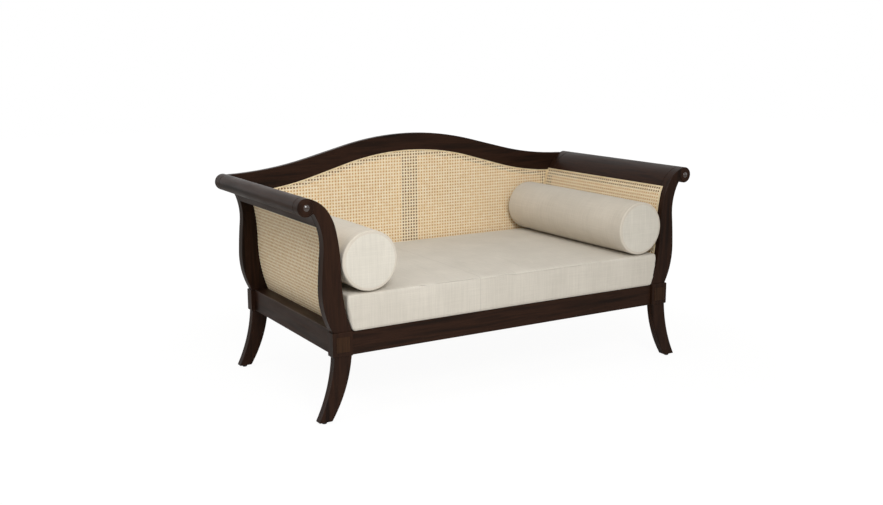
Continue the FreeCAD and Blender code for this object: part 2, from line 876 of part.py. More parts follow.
def straightened(segments):
    """The segments as lines where the middle one of a curve has no bend."""
    crown, slope, hollow = plain(segments)
    return [crown, (slope[0], slope[2]), hollow]


top_half = straightened(crest_line)
arch_half = straightened(arch_line)
under_half = [tuple((x, as_size(z) - dim("crest_rabbet")) for x, z in part) for part in arch_half]
crest_outline = (
    flip(top_half)
    + top_half
    + [(top_half[-1][-1], under_half[-1][-1])]
    + reverse(under_half)
    + reverse(flip(under_half))
    + [((-as_size(under_half[-1][-1][0]), under_half[-1][-1][1]), flip(top_half)[0][0])]
)
crest_body = board("crest_body", crest_outline, back_front, dim("back_thickness"), dim("edge_chamfer"))


def under_arch(drop, low, high, half_width, y):
    """The space under the crest's visible lower edge, moved down by a drop."""
    edge = [tuple((num(x), num(z) - drop) for x, z in part) for part in arch_half]
    end = edge[-1][-1]
    corners = [end, (end[0], num(low)), (-end[0], num(low)), (-end[0], end[1])]
    outline = [tuple((-x, z) for x, z in part) for part in reverse(edge)] + edge
    outline += list(zip(corners, corners[1:]))
    space = prism(outline, y[0], as_size(y[1]) - y[0])
    return space.common(slab((-num(half_width), y[0], low), (half_width, y[1], high)))


def back_opening(side, top, y):
    """The opening between the posts' inner edges and under the crest, drawn in at its sides and top."""
    foot = num(back_rail_bottom) + num(dim("cane_foot_lift")) + max(top, 0)
    whole = under_arch(top, foot, dim("crest_height"), roll_x, y)
    edge = offset(inner_edge, -side)
    x, z = edge[-1][2]
    peak = num(dim("crest_height"))
    over = [(x, z), (x, peak), (-x, peak), (-x, z)]
    across = edge + list(zip(over, over[1:]))
    across += [tuple((-x, z) for x, z in part) for part in reverse(edge)]
    across.append((across[-1][-1], edge[0][0]))
    return whole.common(prism(across, y[0], as_size(y[1]) - y[0]))


back_rail_bottom = block_top + dim("back_rail_lift")
front_lap = (back_front, stile_front)
rear_lap = (stile_rear, back_rear)
arch_front = solid("crest_front_rabbet", under_arch(0, zero, dim("crest_height"), roll_x, front_lap))
arch_rear = solid("crest_rear_rabbet", under_arch(0, zero, dim("crest_height"), roll_x, rear_lap))
cap_seat = rod("crest_cap_seat", roll_x, back_front, roll_z, roll_radius + gap, dim("back_thickness"))
cap_seat_twin = mirror("crest_cap_seat_twin", cap_seat)
crest = cut("crest_cut", crest_body, [arch_front, arch_rear, cap_seat, cap_seat_twin])
node(crest, "crest_rail")

stile_x = (back_stile_inner, back_stile_inner + dim("back_stile_width"))
stile_block = box("back_stile_block", stile_x, (back_front, stile_rear),
                  (back_rail_bottom, arm_rail_bottom + dim("crest_rabbet")))
stile_rabbet = solid("stile_rabbet", back_opening(-num(dim("cane_margin")), 0, front_lap))
pair(cut("back_stile_cut", stile_block, [crest, stile_rabbet, screw_holes]), "back_stile")

centre_block = box("centre_stile_block", centred(zero, dim("centre_stile_width")),
                   (stile_front, stile_rear),
                   (back_rail_bottom + dim("back_rail_height"), dim("crest_height")))
above_crest = box("centre_stile_trim", centred(zero, dim("centre_stile_width")),
                  (stile_front, stile_rear),
                  (dim("crest_height") - dim("crest_face_height"), dim("crest_height")))
node(cut("centre_stile_cut", centre_block, [crest, above_crest]), "back_centre_stile")
node(
    box("back_bottom_rail", (-back_stile_inner, back_stile_inner),
        (stile_front, stile_rear), (back_rail_bottom, back_rail_bottom + dim("back_rail_height"))),
    "back_bottom_rail",
)

back_screws = []
for count, height in enumerate(screw_z, 1):
    right = screw(f"back_screw_{count}", height, zero)
    back_screws += [right, mirror(f"back_screw_{count}_twin", right)]
node(group("back_screws", back_screws), "back_screws")

# Cane panels and the round reed splines that hold their edges

cane = dim("cane_thickness")
reed = dim("spline_width")
front_cane_y = (stile_front - cane, stile_front)
rear_cane_y = (stile_rear, stile_rear + cane)
front_reed_y = (front_cane_y[0] - dim("spline_thickness"), front_cane_y[0])
rear_reed_y = (rear_cane_y[1], rear_cane_y[1] + dim("spline_thickness"))
cane_side = num(gap) - num(dim("cane_margin"))
node(solid("back_front_cane", back_opening(cane_side, num(gap), front_cane_y)), "back_front_cane")


def rear_field(inset, y):
    foot = num(back_rail_bottom) + num(dim("cane_foot_lift")) + inset
    half = num(back_stile_inner + dim("rear_cane_lap")) - inset
    return under_arch(inset, foot, dim("crest_height"), half, y)


node(solid("back_rear_cane", rear_field(num(gap), rear_cane_y)), "back_rear_cane")
reed_outside = num(gap)
reed_inside = num(gap) + num(reed)
front_reed = back_opening(reed_outside, reed_outside, front_reed_y)
front_reed = front_reed.cut(back_opening(reed_inside, reed_inside, front_reed_y))
node(solid("back_front_spline", front_reed), "back_front_spline")
rear_reed = rear_field(reed_outside, rear_reed_y).cut(rear_field(reed_inside, rear_reed_y))
node(solid("back_rear_spline", rear_reed), "back_rear_spline")

arm_cane_y = (cane_front + gap, back_front - gap)
arm_cane_z = (cane_foot + gap, cane_top - gap)
pair(
    solid("arm_cane", inner_band(num(rabbet) - num(cane), num(rabbet) - num(gap),
                                 arm_cane_y, arm_cane_z)),
    "arm_cane",
)
arm_reed = inner_band(num(rabbet) - num(cane) - num(dim("spline_thickness")) - num(gap),
                      num(rabbet) - num(cane) - num(gap),
                      (arm_cane_y[0], front_reed_y[0] - gap), arm_cane_z)
arm_window = slab(
    (0, arm_cane_y[0] + reed, arm_cane_z[0] + reed),
    (roll_x, front_reed_y[0] - gap - reed, arm_cane_z[1] - reed),
)
pair(solid("arm_spline", arm_reed.cut(arm_window)), "arm_spline")

# Box cushion: a stack of rounded outlines, narrow at the foot between the blocks and wider above them

cushion_bottom = rail_top + dim("cushion_gap")
cushion_half = block_inner + dim("cushion_side_reach")
cushion_front = base_front + dim("cushion_front_setback")
cushion_rear = front_reed_y[0] - dim("cushion_rear_gap")
edge_height = dim("cushion_edge_height")
crown = dim("cushion_crown")
edge_round = dim("cushion_edge_round")
shoulder = dim("cushion_shoulder")
cushion_top = cushion_bottom + edge_height + crown
taper = dim("cushion_taper")
# each level: height, how far the front and rear lie in, how far the sides lie in
CUSHION_STACK = [
    (zero, edge_round, taper * 1.03),
    (edge_height * 0.025, edge_round * 0.6, taper * 0.97),
    (edge_height * 0.07, edge_round * 0.4, taper * 0.84),
    (edge_height * 0.135, edge_round * 0.25, taper * 0.7),
    (edge_height * 0.31, edge_round * 0.1, taper * 0.38),
    (edge_height * 0.55, zero, taper * 0.1),
    (edge_height * 0.82, zero, zero),
    (edge_height * 0.95, edge_round * 0.25, taper * 0.05),
    (edge_height, edge_round, taper * 0.2),
    (edge_height + crown * 0.5, edge_round + shoulder * 0.25, taper * 0.2 + shoulder * 0.25),
    (edge_height + crown * 0.85, edge_round + shoulder * 0.6, taper * 0.2 + shoulder * 0.6),
    (edge_height + crown, edge_round + shoulder, taper * 0.2 + shoulder),
    (edge_height + crown + dim("cushion_dome"), dim("cushion_dome_inset"), dim("cushion_dome_inset")),
]


def cushion_outline(inset, side_inset):
    """A rounded rectangle whose sides bow inwards between its corners."""
    x = cushion_half - side_inset
    low = cushion_front + inset
    high = cushion_rear - inset
    corner = dim("cushion_corner")
    draw_in = dim("cushion_draw")
    lean = 1 - math.sqrt(0.5)
    middle_y = (low + high) / 2
    sides = [
        ((-x + corner, low), (zero, low + draw_in), (x - corner, low)),
        ((x, low + corner), (x - draw_in, middle_y), (x, high - corner)),
        ((x - corner, high), (zero, high - draw_in), (-x + corner, high)),
        ((-x, high - corner), (-x + draw_in, middle_y), (-x, low + corner)),
    ]
    corners = [
        (x - corner * lean, low + corner * lean),
        (x - corner * lean, high - corner * lean),
        (-x + corner * lean, high - corner * lean),
        (-x + corner * lean, low + corner * lean),
    ]
    outline = []
    for side, bend, following in zip(sides, corners, sides[1:] + sides[:1]):
        outline += [side, (side[2], bend, following[0])]
    return outline


sections = []
for level, (height, inset, side_inset) in enumerate(CUSHION_STACK, 1):
    section = doc.addObject("Sketcher::SketchObject", f"cushion_section_{level}")
    draw(section, cushion_outline(inset, side_inset))
    bind_base(section, zero, zero, cushion_bottom + height)
    sections.append(section)
cushion = doc.addObject("Part::Loft", "seat_cushion")
cushion.Sections = sections
cushion.Solid = True
cushion.Ruled = True
node(cushion, "seat_cushion")

# Bolsters: round pillows with domed ends, drawn in a little towards the end seams

bolster_radius = dim("bolster_diameter") / 2
seam_radius = bolster_radius - dim("bolster_pinch")
dome = dim("bolster_dome")
bolster_front = base_front + dim("bolster_front_setback")
half_length = (front_reed_y[0] - dim("bolster_rear_gap") - dome - bolster_front) / 2
dome_sphere = (seam_radius * (num(seam_radius) / num(dome)) + dome) / 2
bolster_outline = [
    arc((zero, -half_length - dome), (seam_radius, -half_length), -dome_sphere),
    ((seam_radius, -half_length), (bolster_radius, zero), (seam_radius, half_length)),
    arc((seam_radius, half_length), (zero, half_length + dome), -dome_sphere),
    ((zero, half_length + dome), (zero, -half_length - dome)),
]
bolster_y = bolster_front + half_length
bolster_z = cushion_top + dim("cushion_gap") + dim("cushion_dome") * 0.1 + bolster_radius
bolster_x = block_inner - dim("bolster_side_in")
for side, place in (("right", bolster_x), ("left", -bolster_x)):
    node(turned(f"{side}_bolster", bolster_outline, "rear", place, bolster_y, bolster_z),
         f"{side}_bolster")

doc.recompute()

failed = [obj.Label for obj in doc.Objects if "Invalid" in obj.State or "Error" in obj.State]
if failed:
    raise RuntimeError("not computed: " + ", ".join(failed))
for obj in nodes:
    if obj.Shape.isNull() or not obj.Shape.isValid() or not obj.Shape.Solids:
        raise RuntimeError(f"{obj.Label} has no sound solid")

os.makedirs("parts", exist_ok=True)
whole = FreeCAD.BoundBox()
for obj in nodes:
    obj.Shape.exportStep(f"parts/{obj.Label}.step")
    whole.add(obj.Shape.BoundBox)
print(len(nodes), "sub-parts")
print("box", [round(value, 2) for value in (whole.XMin, whole.YMin, whole.ZMin)],
      [round(value, 2) for value in (whole.XMax, whole.YMax, whole.ZMax)])
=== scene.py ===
# %% [markdown]
# # A caned sofa with scrolled arms
#
# This lesson dresses a finished construction model. The wooden pieces come from CAD and stay where
# they are. Blender adds what CAD leaves plain: the stain and grain of the wood, the woven cane, the
# reed along its edges, and the stuffed cushion and bolsters.

import json
import math

import bmesh
import bpy
import numpy as np
from mathutils import Matrix, Vector
from mathutils.bvhtree import BVHTree


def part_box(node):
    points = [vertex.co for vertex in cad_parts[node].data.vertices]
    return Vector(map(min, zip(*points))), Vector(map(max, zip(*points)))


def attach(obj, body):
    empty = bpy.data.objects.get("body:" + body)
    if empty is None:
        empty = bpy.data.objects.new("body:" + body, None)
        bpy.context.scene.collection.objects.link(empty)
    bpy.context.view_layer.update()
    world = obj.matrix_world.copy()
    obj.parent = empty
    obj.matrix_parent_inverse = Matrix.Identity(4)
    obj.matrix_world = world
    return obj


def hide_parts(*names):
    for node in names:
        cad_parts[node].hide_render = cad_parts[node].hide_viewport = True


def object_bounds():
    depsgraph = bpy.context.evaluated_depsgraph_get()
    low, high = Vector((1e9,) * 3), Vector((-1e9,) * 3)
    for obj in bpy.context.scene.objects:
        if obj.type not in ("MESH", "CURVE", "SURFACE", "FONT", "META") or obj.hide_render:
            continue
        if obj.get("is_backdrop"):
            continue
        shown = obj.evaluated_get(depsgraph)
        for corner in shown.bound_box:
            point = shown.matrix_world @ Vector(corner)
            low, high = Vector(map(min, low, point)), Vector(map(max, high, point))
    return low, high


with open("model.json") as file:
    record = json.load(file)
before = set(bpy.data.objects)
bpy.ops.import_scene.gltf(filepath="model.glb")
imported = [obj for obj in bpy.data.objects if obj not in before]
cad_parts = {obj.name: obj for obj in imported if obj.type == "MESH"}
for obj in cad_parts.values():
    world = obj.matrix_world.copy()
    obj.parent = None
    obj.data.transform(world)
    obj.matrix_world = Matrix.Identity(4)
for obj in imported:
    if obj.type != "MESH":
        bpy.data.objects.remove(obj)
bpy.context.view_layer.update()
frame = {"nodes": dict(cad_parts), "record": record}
nodes = frame["nodes"]

# %% [markdown]
# ## Camera
#
# The picture was taken from the front left, a little above the arms. The camera here has that place
# and lens, found by matching the sofa's straight edges. Rotating about Z, then X, then the camera's
# own axis gives yaw, tilt and a trace of roll, each as a number that can be read and changed.

# %% Camera
PICTURE_WIDTH = 883
FOCAL_PIXELS = 1047.9
SENSOR_WIDTH = 36
CAMERA_PLACE = (-2.1624, -3.4984, 1.2579)
CAMERA_YAW = -30.829
CAMERA_TILT = 90 - 11.168
CAMERA_ROLL = -0.217
camera_data = bpy.data.cameras.new("photo_camera")
camera_data.sensor_fit = "HORIZONTAL"
camera_data.sensor_width = SENSOR_WIDTH
camera_data.lens = FOCAL_PIXELS / PICTURE_WIDTH * SENSOR_WIDTH
camera = bpy.data.objects.new("photo_camera", camera_data)
yaw = Matrix.Rotation(math.radians(CAMERA_YAW), 4, "Z")
tilt = Matrix.Rotation(math.radians(CAMERA_TILT), 4, "X")
roll = Matrix.Rotation(math.radians(CAMERA_ROLL), 4, "Z")
camera.matrix_world = Matrix.Translation(CAMERA_PLACE) @ yaw @ tilt @ roll
bpy.context.scene.collection.objects.link(camera)
bpy.context.scene.camera = camera
print("lens:", round(camera_data.lens, 2), "mm")

# %% [markdown]
# ## Light from everywhere
#
# A white studio has light from everywhere and more from the front. The world gives the even part. It
# looks pure white to the camera and in reflections, but lights the sofa with less and a little
# warmer, which leaves room for soft lamps. Light Path tells the two uses apart.

# %% World
SKY_LIGHT = 0.44
SKY_TINT = (1, 0.97, 0.91, 1)
WHITE = (1, 1, 1, 1)
scene = bpy.context.scene
scene.view_settings.view_transform = "Standard"


def link(tree, start, end):
    tree.links.new(start, end)


def combined(tree, operation, first, second):
    """The result of a sum on two sockets."""
    made = tree.nodes.new("ShaderNodeMath")
    made.operation = operation
    link(tree, first, made.inputs[0])
    link(tree, second, made.inputs[1])
    return made.outputs[0]


world = bpy.data.worlds.new("studio")
world.use_nodes = True
scene.world = world
sky = world.node_tree
sky.nodes.clear()
ray = sky.nodes.new("ShaderNodeLightPath").outputs
seen = combined(sky, "MAXIMUM", ray["Is Camera Ray"], ray["Is Glossy Ray"])
seen = combined(sky, "MAXIMUM", seen, ray["Is Transmission Ray"])
strength = sky.nodes.new("ShaderNodeMapRange")
strength.inputs["To Min"].default_value = SKY_LIGHT
strength.inputs["To Max"].default_value = 1
link(sky, seen, strength.inputs["Value"])
tint = sky.nodes.new("ShaderNodeMix")
tint.data_type = "RGBA"
tint.inputs["A"].default_value = SKY_TINT
tint.inputs["B"].default_value = WHITE
link(sky, seen, tint.inputs["Factor"])
glow = sky.nodes.new("ShaderNodeBackground")
link(sky, tint.outputs["Result"], glow.inputs["Color"])
link(sky, strength.outputs["Result"], glow.inputs["Strength"])
sky_out = sky.nodes.new("ShaderNodeOutputWorld")
link(sky, glow.outputs["Background"], sky_out.inputs["Surface"])
print("light from the world:", SKY_LIGHT)

# %% [markdown]
# ## Lamps
#
# Large round lamps stand in for the soft boxes of a studio. The one in front is aimed at the left
# end with a limited spread, so the light falls off towards the right. One hangs overhead. The one at
# the side only reaches the outside of the left arm, where the roll of the arm shades the top of the
# cane.

# %% Lamps


def lamp(name, place, target, size, watts, cone=180, mirrored=False):
    """A round area lamp, aimed at a target, that the camera doesn't see."""
    data = bpy.data.lights.new(name, "AREA")
    data.shape = "DISK"
    data.size = size
    data.energy = watts
    data.spread = math.radians(cone)
    made = bpy.data.objects.new(name, data)
    aim = (Vector(target) - Vector(place)).to_track_quat("-Z", "Y")
    made.matrix_world = Matrix.Translation(place) @ aim.to_matrix().to_4x4()
    made.visible_camera = False
    made.visible_glossy = mirrored
    scene.collection.objects.link(made)


lamp("front_lamp", (-1.0, -2.9, 2.3), (-0.55, -0.3, 0.45), 1.6, 25, cone=110, mirrored=True)
lamp("top_lamp", (-0.9, -0.7, 3.8), (0, 0, 0.4), 3.0, 22)
lamp("side_lamp", (-2.8, -0.5, 2.8), (-0.85, 0, 0.42), 1.2, 0.8, cone=36)

# %% [markdown]
# ## Floor
#
# The floor is a wide sheet of white paper. A plain white one would look grey, because the lamps are
# set for the sofa. So it glows towards the camera nearly as white as the world, a little less close
# to the sofa, and its matt share still shows where the sofa keeps light away.

# %% Floor
FLOOR_HALF = 12
FLOOR_GREY = (0.86, 0.86, 0.86, 1)
FLOOR_GLOW = 1.03
NEAR_SHARE = 0.92
NEAR_REACH = 0.9
FAR_REACH = 2.2
floor_mesh = bpy.data.meshes.new("floor")
shape = bmesh.new()
bmesh.ops.create_grid(shape, x_segments=1, y_segments=1, size=FLOOR_HALF)
shape.to_mesh(floor_mesh)
shape.free()
floor = bpy.data.objects.new("floor", floor_mesh)
scene.collection.objects.link(floor)
paper = bpy.data.materials.new("floor_paper")
paper.use_nodes = True
tree = paper.node_tree
tree.nodes.clear()
away = tree.nodes.new("ShaderNodeVectorMath")
away.operation = "LENGTH"
link(tree, tree.nodes.new("ShaderNodeTexCoord").outputs["Object"], away.inputs[0])
fade = tree.nodes.new("ShaderNodeMapRange")
fade.interpolation_type = "SMOOTHSTEP"
fade.inputs["From Min"].default_value = NEAR_REACH
fade.inputs["From Max"].default_value = FAR_REACH
fade.inputs["To Min"].default_value = NEAR_SHARE
fade.inputs["To Max"].default_value = 1
link(tree, away.outputs["Value"], fade.inputs["Value"])
ray = tree.nodes.new("ShaderNodeLightPath").outputs
share = combined(tree, "MULTIPLY", ray["Is Camera Ray"], fade.outputs["Result"])
matt = tree.nodes.new("ShaderNodeBsdfDiffuse")
matt.inputs["Color"].default_value = FLOOR_GREY
white = tree.nodes.new("ShaderNodeEmission")
white.inputs["Color"].default_value = WHITE
white.inputs["Strength"].default_value = FLOOR_GLOW
blend = tree.nodes.new("ShaderNodeMixShader")
link(tree, share, blend.inputs[0])
link(tree, matt.outputs[0], blend.inputs[1])
link(tree, white.outputs[0], blend.inputs[2])
paper_out = tree.nodes.new("ShaderNodeOutputMaterial")
link(tree, blend.outputs[0], paper_out.inputs["Surface"])
floor_mesh.materials.append(paper)
floor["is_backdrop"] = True
print("floor:", 2 * FLOOR_HALF, "m wide")

# %% [markdown]
# ## Nodes that all finishes share
#
# Every finish here is procedural: noise over the piece's own metres gives colour, gloss and relief.
# Painted pictures would need unwrapped pieces and would smear along the curves. A few small
# functions make the nodes, so that each finish below reads like a recipe.

# %% Helpers for finishes


def linear(red, green, blue):
    """A colour given on screen (0 to 255) as the linear numbers that shaders use."""
    steps = [value / 255 for value in (red, green, blue)]
    return tuple(s / 12.92 if s <= 0.04045 else ((s + 0.055) / 1.055) ** 2.4 for s in steps) + (1,)


def material(name):
    made = bpy.data.materials.new(name)
    made.use_nodes = True
    tree = made.node_tree
    shader = next(n for n in tree.nodes if n.type == "BSDF_PRINCIPLED")
    return made, tree, shader


def noise(tree, scale, detail=4, roughness=0.55, spot=(0, 0, 0)):
    """Noise over the object's own metres, squeezed by a scale for each axis."""
    metres = tree.nodes.new("ShaderNodeTexCoord").outputs["Object"]
    stretch = tree.nodes.new("ShaderNodeMapping")
    stretch.inputs["Scale"].default_value = scale
    stretch.inputs["Location"].default_value = spot
    link(tree, metres, stretch.inputs["Vector"])
    made = tree.nodes.new("ShaderNodeTexNoise")
    made.inputs["Scale"].default_value = 1
    made.inputs["Detail"].default_value = detail
    made.inputs["Roughness"].default_value = roughness
    link(tree, stretch.outputs["Vector"], made.inputs["Vector"])
    return made.outputs["Fac"]


def even(scale):
    """The same scale along all three axes."""
    return (scale, scale, scale)


def ramp(tree, source, stops):
    """Colours in place of a value: each stop has the value and its colour."""
    made = tree.nodes.new("ShaderNodeValToRGB")
    steps = made.color_ramp.elements
    while len(steps) < len(stops):
        steps.new(0.5)
    for step, (place, colour) in zip(steps, stops):
        step.position = place
        step.color = colour
    link(tree, source, made.inputs["Fac"])
    return made.outputs["Color"]


def spread(tree, source, low, high, start=0.3, end=0.7):
    """A value from start to end, spread out from low to high. Noise mostly lies in the defaults."""
    made = tree.nodes.new("ShaderNodeMapRange")
    made.inputs["From Min"].default_value = start
    made.inputs["From Max"].default_value = end
    made.inputs["To Min"].default_value = low
    made.inputs["To Max"].default_value = high
    link(tree, source, made.inputs["Value"])
    return made.outputs["Result"]


def tinted(tree, colour, factor):
    """The colour times a grey factor."""
    made = tree.nodes.new("ShaderNodeMix")
    made.data_type = "RGBA"
    made.blend_type = "MULTIPLY"
    made.inputs["Factor"].default_value = 1
    link(tree, colour, made.inputs["A"])
    link(tree, factor, made.inputs["B"])
    return made.outputs["Result"]


def relief(tree, shader, height, distance, strength):
    """Bumps on the surface, with the height in metres of a full step."""
    made = tree.nodes.new("ShaderNodeBump")
    made.inputs["Strength"].default_value = strength
    made.inputs["Distance"].default_value = distance
    link(tree, height, made.inputs["Height"])
    link(tree, made.outputs["Normal"], shader.inputs["Normal"])


print("middle grey in linear numbers:", round(linear(128, 128, 128)[0], 3))

# %% [markdown]
# ## Stained wood
#
# The frame is dark stained hardwood under a satin lacquer. Grain follows the length of each piece,
# so there is one material for each of the three directions. Stretched noise draws the broad figure,
# finer and longer noise draws the pores, and the same pores press a shallow relief into the lacquer.

# %% Wood material
DARK = linear(28, 18, 13)
LIGHT = linear(48, 30, 21)
TIMBER_DARK = linear(150, 116, 78)
TIMBER_LIGHT = linear(190, 154, 108)


def along(axis, run, across):
    """Scales that squeeze a pattern across the grain and stretch it along one axis."""
    return tuple(run if i == axis else across for i in range(3))


def wood(name, axis, dark, light, gloss=(0.30, 0.44), shine=0.078):
    """Wood with its grain along one axis: two tones, the range of its roughness, and its shine."""
    made, tree, shader = material(name)
    figure = noise(tree, along(axis, 2.2, 34), detail=5, spot=(0.3 * axis, 0.7, 0.2))
    pores = noise(tree, along(axis, 18, 620), detail=3, roughness=0.6)
    colour = ramp(tree, figure, [(0.32, dark), (0.52, light), (0.7, dark)])
    link(tree, tinted(tree, colour, spread(tree, pores, 0.72, 1.12)), shader.inputs["Base Color"])
    wear = noise(tree, along(axis, 5, 26), detail=3)
    link(tree, spread(tree, wear, *gloss), shader.inputs["Roughness"])
    shader.inputs["Specular IOR Level"].default_value = shine
    relief(tree, shader, pores, 0.00012, 0.25)
    return made


stained = [wood(f"stained_wood_{'xyz'[axis]}", axis, DARK, LIGHT) for axis in range(3)]
pale = [
    wood(f"seat_timber_{'xyz'[axis]}", axis, TIMBER_DARK, TIMBER_LIGHT, (0.5, 0.7), 0.35)
    for axis in range(3)
]
print("wood materials:", [m.name for m in stained + pale])

# %% [markdown]
# ## Softened edges
#
# CAD edges are perfectly sharp, and real ones never are. A copy of each frame piece is merged, its
# flat triangles are dissolved into whole faces, and the sharp edges get a bevel of about a
# millimetre. The copy replaces the CAD piece, so the thin bright lines along the edges are real.
# Weighting the normals by area keeps the large faces flat beside their bevels.

# %% Softened copies
EDGE_ROUND = 0.0011
MERGE = 1e-6
FLAT_TURN = math.radians(0.4)
SHARP_TURN = math.radians(32)
SMOOTH_TURN = math.radians(34)


def new_piece(name, mesh, body, *replaced):
    piece = bpy.data.objects.new(name, mesh)
    scene.collection.objects.link(piece)
    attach(piece, body)
    if replaced:
        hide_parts(*replaced)
    return piece


def paint(piece, made):
    """Makes a material the piece's first one. Clearing would reset the faces, so only if needed."""
    if piece.data.materials:
        piece.data.materials.clear()
    piece.data.materials.append(made)


def is_sharp(edge):
    return len(edge.link_faces) == 2 and edge.calc_face_angle() > SHARP_TURN


def softened(name, width=EDGE_ROUND, edge_material=0):
    """A copy of a CAD piece with its sharp edges rounded."""
    shape = bmesh.new()
    shape.from_mesh(nodes[name].data)
    bmesh.ops.remove_doubles(shape, verts=shape.verts, dist=MERGE)
    bmesh.ops.dissolve_limit(
        shape, angle_limit=FLAT_TURN, verts=shape.verts, edges=shape.edges, delimit={"NORMAL"}
    )
    if width:
        rounded = bmesh.ops.bevel(
            shape, geom=[edge for edge in shape.edges if is_sharp(edge)], offset=width,
            offset_type="OFFSET", segments=2, profile=0.5, affect="EDGES", clamp_overlap=True,
            material=-1,
        )
        for face in rounded["faces"]:
            face.material_index = edge_material
    bmesh.ops.recalc_face_normals(shape, faces=shape.faces)
    mesh = bpy.data.meshes.new(f"{name}_soft")
    shape.to_mesh(mesh)
    shape.free()
    mesh.shade_smooth()
    mesh.set_sharp_from_angle(angle=SMOOTH_TURN)
    piece = new_piece(f"{name}_soft", mesh, "frame", name)
    flat = piece.modifiers.new("flat faces", "WEIGHTED_NORMAL")
    flat.keep_sharp = True
    return piece


slots = {part["node"]: part["material_slot"] for part in frame["record"]["subparts"]}
print("material slots:", sorted(set(slots.values())))

# %% [markdown]
# ## Finishes within a piece
#
# One stain runs over the whole frame, but making and use leave their marks. The button in the middle
# of each rosette is polished and its rim is matt, the plaques are a shade lighter, and the ledges
# under the cane were never stained, which gives the holes above them a brown ground. The bevels of
# the side rails are paler as a painted highlight. All are the same recipe with other numbers, set
# face by face.

# %% Special finishes
BUTTON_HALF = 0.0112
SIDEWAYS = 0.5
LEDGE_GAP = 0.0003
polish = wood("polished_button", 2, DARK, LIGHT, (0.08, 0.14), 0.5)
polish_shader = next(n for n in polish.node_tree.nodes if n.type == "BSDF_PRINCIPLED")
polish_shader.inputs["Coat Weight"].default_value = 1
polish_shader.inputs["Coat Roughness"].default_value = 0.06
matt_rim = wood("matt_rim", 2, DARK, LIGHT, (0.6, 0.7), 0.02)
plaque_wood = wood("plaque_wood", 2, linear(38, 25, 16), linear(60, 40, 26))
# A paler colour on the bevels of the side rails: a painted highlight, as if a light above caught
# them.
edge_highlight = wood("painted_edge_highlight", 1, linear(62, 52, 46), linear(84, 72, 64))
bare = wood("bare_wood", 2, linear(112, 76, 44), linear(132, 92, 56), (0.6, 0.7), 0.1)


def cad_surface(name):
    """A CAD piece as a surface that rays and nearest points can be found on."""
    data = nodes[name].data
    return BVHTree.FromPolygons([v.co for v in data.vertices], [p.vertices for p in data.polygons])


sheets = [cad_surface(name) for name, slot in slots.items() if slot == "woven_cane"]


def polished(piece, name):
    """Polishes the button in the middle of a rosette and leaves its outer rim matt."""
    low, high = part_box(name)
    for made in (polish, matt_rim):
        piece.data.materials.append(made)
    for face in piece.data.polygons:
        corners = [piece.data.vertices[number].co - (low + high) / 2 for number in face.vertices]
        reach = max(math.hypot(corner.x, corner.z) for corner in corners)
        if reach < BUTTON_HALF and face.center.y < (low.y + high.y) / 2:
            face.material_index = 1
        elif abs(face.normal.y) < SIDEWAYS:
            face.material_index = 2


def bared(piece):
    """Leaves the ledges that the cane covers unstained, apart from those that face backwards."""
    number = len(piece.data.materials)
    piece.data.materials.append(bare)
    for face in piece.data.polygons:
        gap = min(sheet.find_nearest(face.center)[3] for sheet in sheets)
        if gap < LEDGE_GAP and face.normal.y < SIDEWAYS:
            face.material_index = number


print("special finishes:", [m.name for m in (polish, matt_rim, plaque_wood, edge_highlight, bare)])

# %% [markdown]
# ## Wooden pieces
#
# Now each wooden piece gets its soft copy, its grain and its marks. Side rails and plaques are
# rounded more, as hands would feel. Turned pieces are round already, so they are only merged and
# smoothed. The plain timber under the cushion keeps its sawn edges.

# %% Wooden pieces
RAIL_ROUND = 0.0024
PLAQUE_ROUND = 0.0017
CROSSWISE = ("front_seat_rail", "rear_seat_rail", "crest_rail", "back_bottom_rail", "ledger")
FRONT_TO_BACK = ("side_rail", "arm_top_rail", "seat_slats", "roll_cap")
CANED = ("post", "rail", "stile")


def named(name, words):
    return any(word in name for word in words)


def grain_axis(name):
    if named(name, CROSSWISE):
        return 0
    return 1 if named(name, FRONT_TO_BACK) else 2


def edge_width(name):
    if named(name, ("rosette", "roll_cap")):
        return 0
    if "plaque" in name:
        return PLAQUE_ROUND
    return RAIL_ROUND if "side_rail" in name else EDGE_ROUND


wooden = [name for name, slot in slots.items() if slot == "dark_wood"]
for name in wooden:
    piece = softened(name, edge_width(name), edge_material=int("side_rail" in name))
    paint(piece, plaque_wood if "plaque" in name else stained[grain_axis(name)])
    if "rosette" in name:
        polished(piece, name)
    # The bevels of the side rails (material index 1) take the painted highlight.
    if "side_rail" in name:
        piece.data.materials.append(edge_highlight)
    if named(name, CANED):
        bared(piece)
for name, slot in slots.items():
    if slot == "seat_timber":
        paint(nodes[name], pale[grain_axis(name)])
print("wooden pieces:", len(wooden))

# %% [markdown]
# ## Small hardware
#
# The glides under the feet are moulded plastic and the screws behind the back are plain steel. Both
# keep their CAD shape and get a material with a little uneven gloss.

# %% Glides and screws
plastic, tree, shader = material("glide_plastic")
shader.inputs["Base Color"].default_value = linear(22, 21, 21)
link(tree, spread(tree, noise(tree, even(300)), 0.45, 0.65), shader.inputs["Roughness"])
relief(tree, shader, noise(tree, even(900)), 0.0001, 0.3)
paint(nodes["foot_glides"], plastic)

steel, tree, shader = material("screw_steel")
shader.inputs["Base Color"].default_value = linear(172, 172, 175)
shader.inputs["Metallic"].default_value = 1
link(tree, spread(tree, noise(tree, even(500)), 0.28, 0.46), shader.inputs["Roughness"])
relief(tree, shader, noise(tree, even(1500)), 0.00008, 0.3)
paint(nodes["back_screws"], steel)
print("hardware:", [m.name for m in (plastic, steel)])

# %% [markdown]
# ## One strand of cane
#
# Cane is the skin of a palm, cut into flat strands with a glossy face and a dull back. A strand could
# be a curve with a profile, but thousands of them have to stay light. So each is a three-sided prism
# with a ring of points wherever it crosses others: two sides are skin and the third is the back.

# %% Strand
prisms = {}


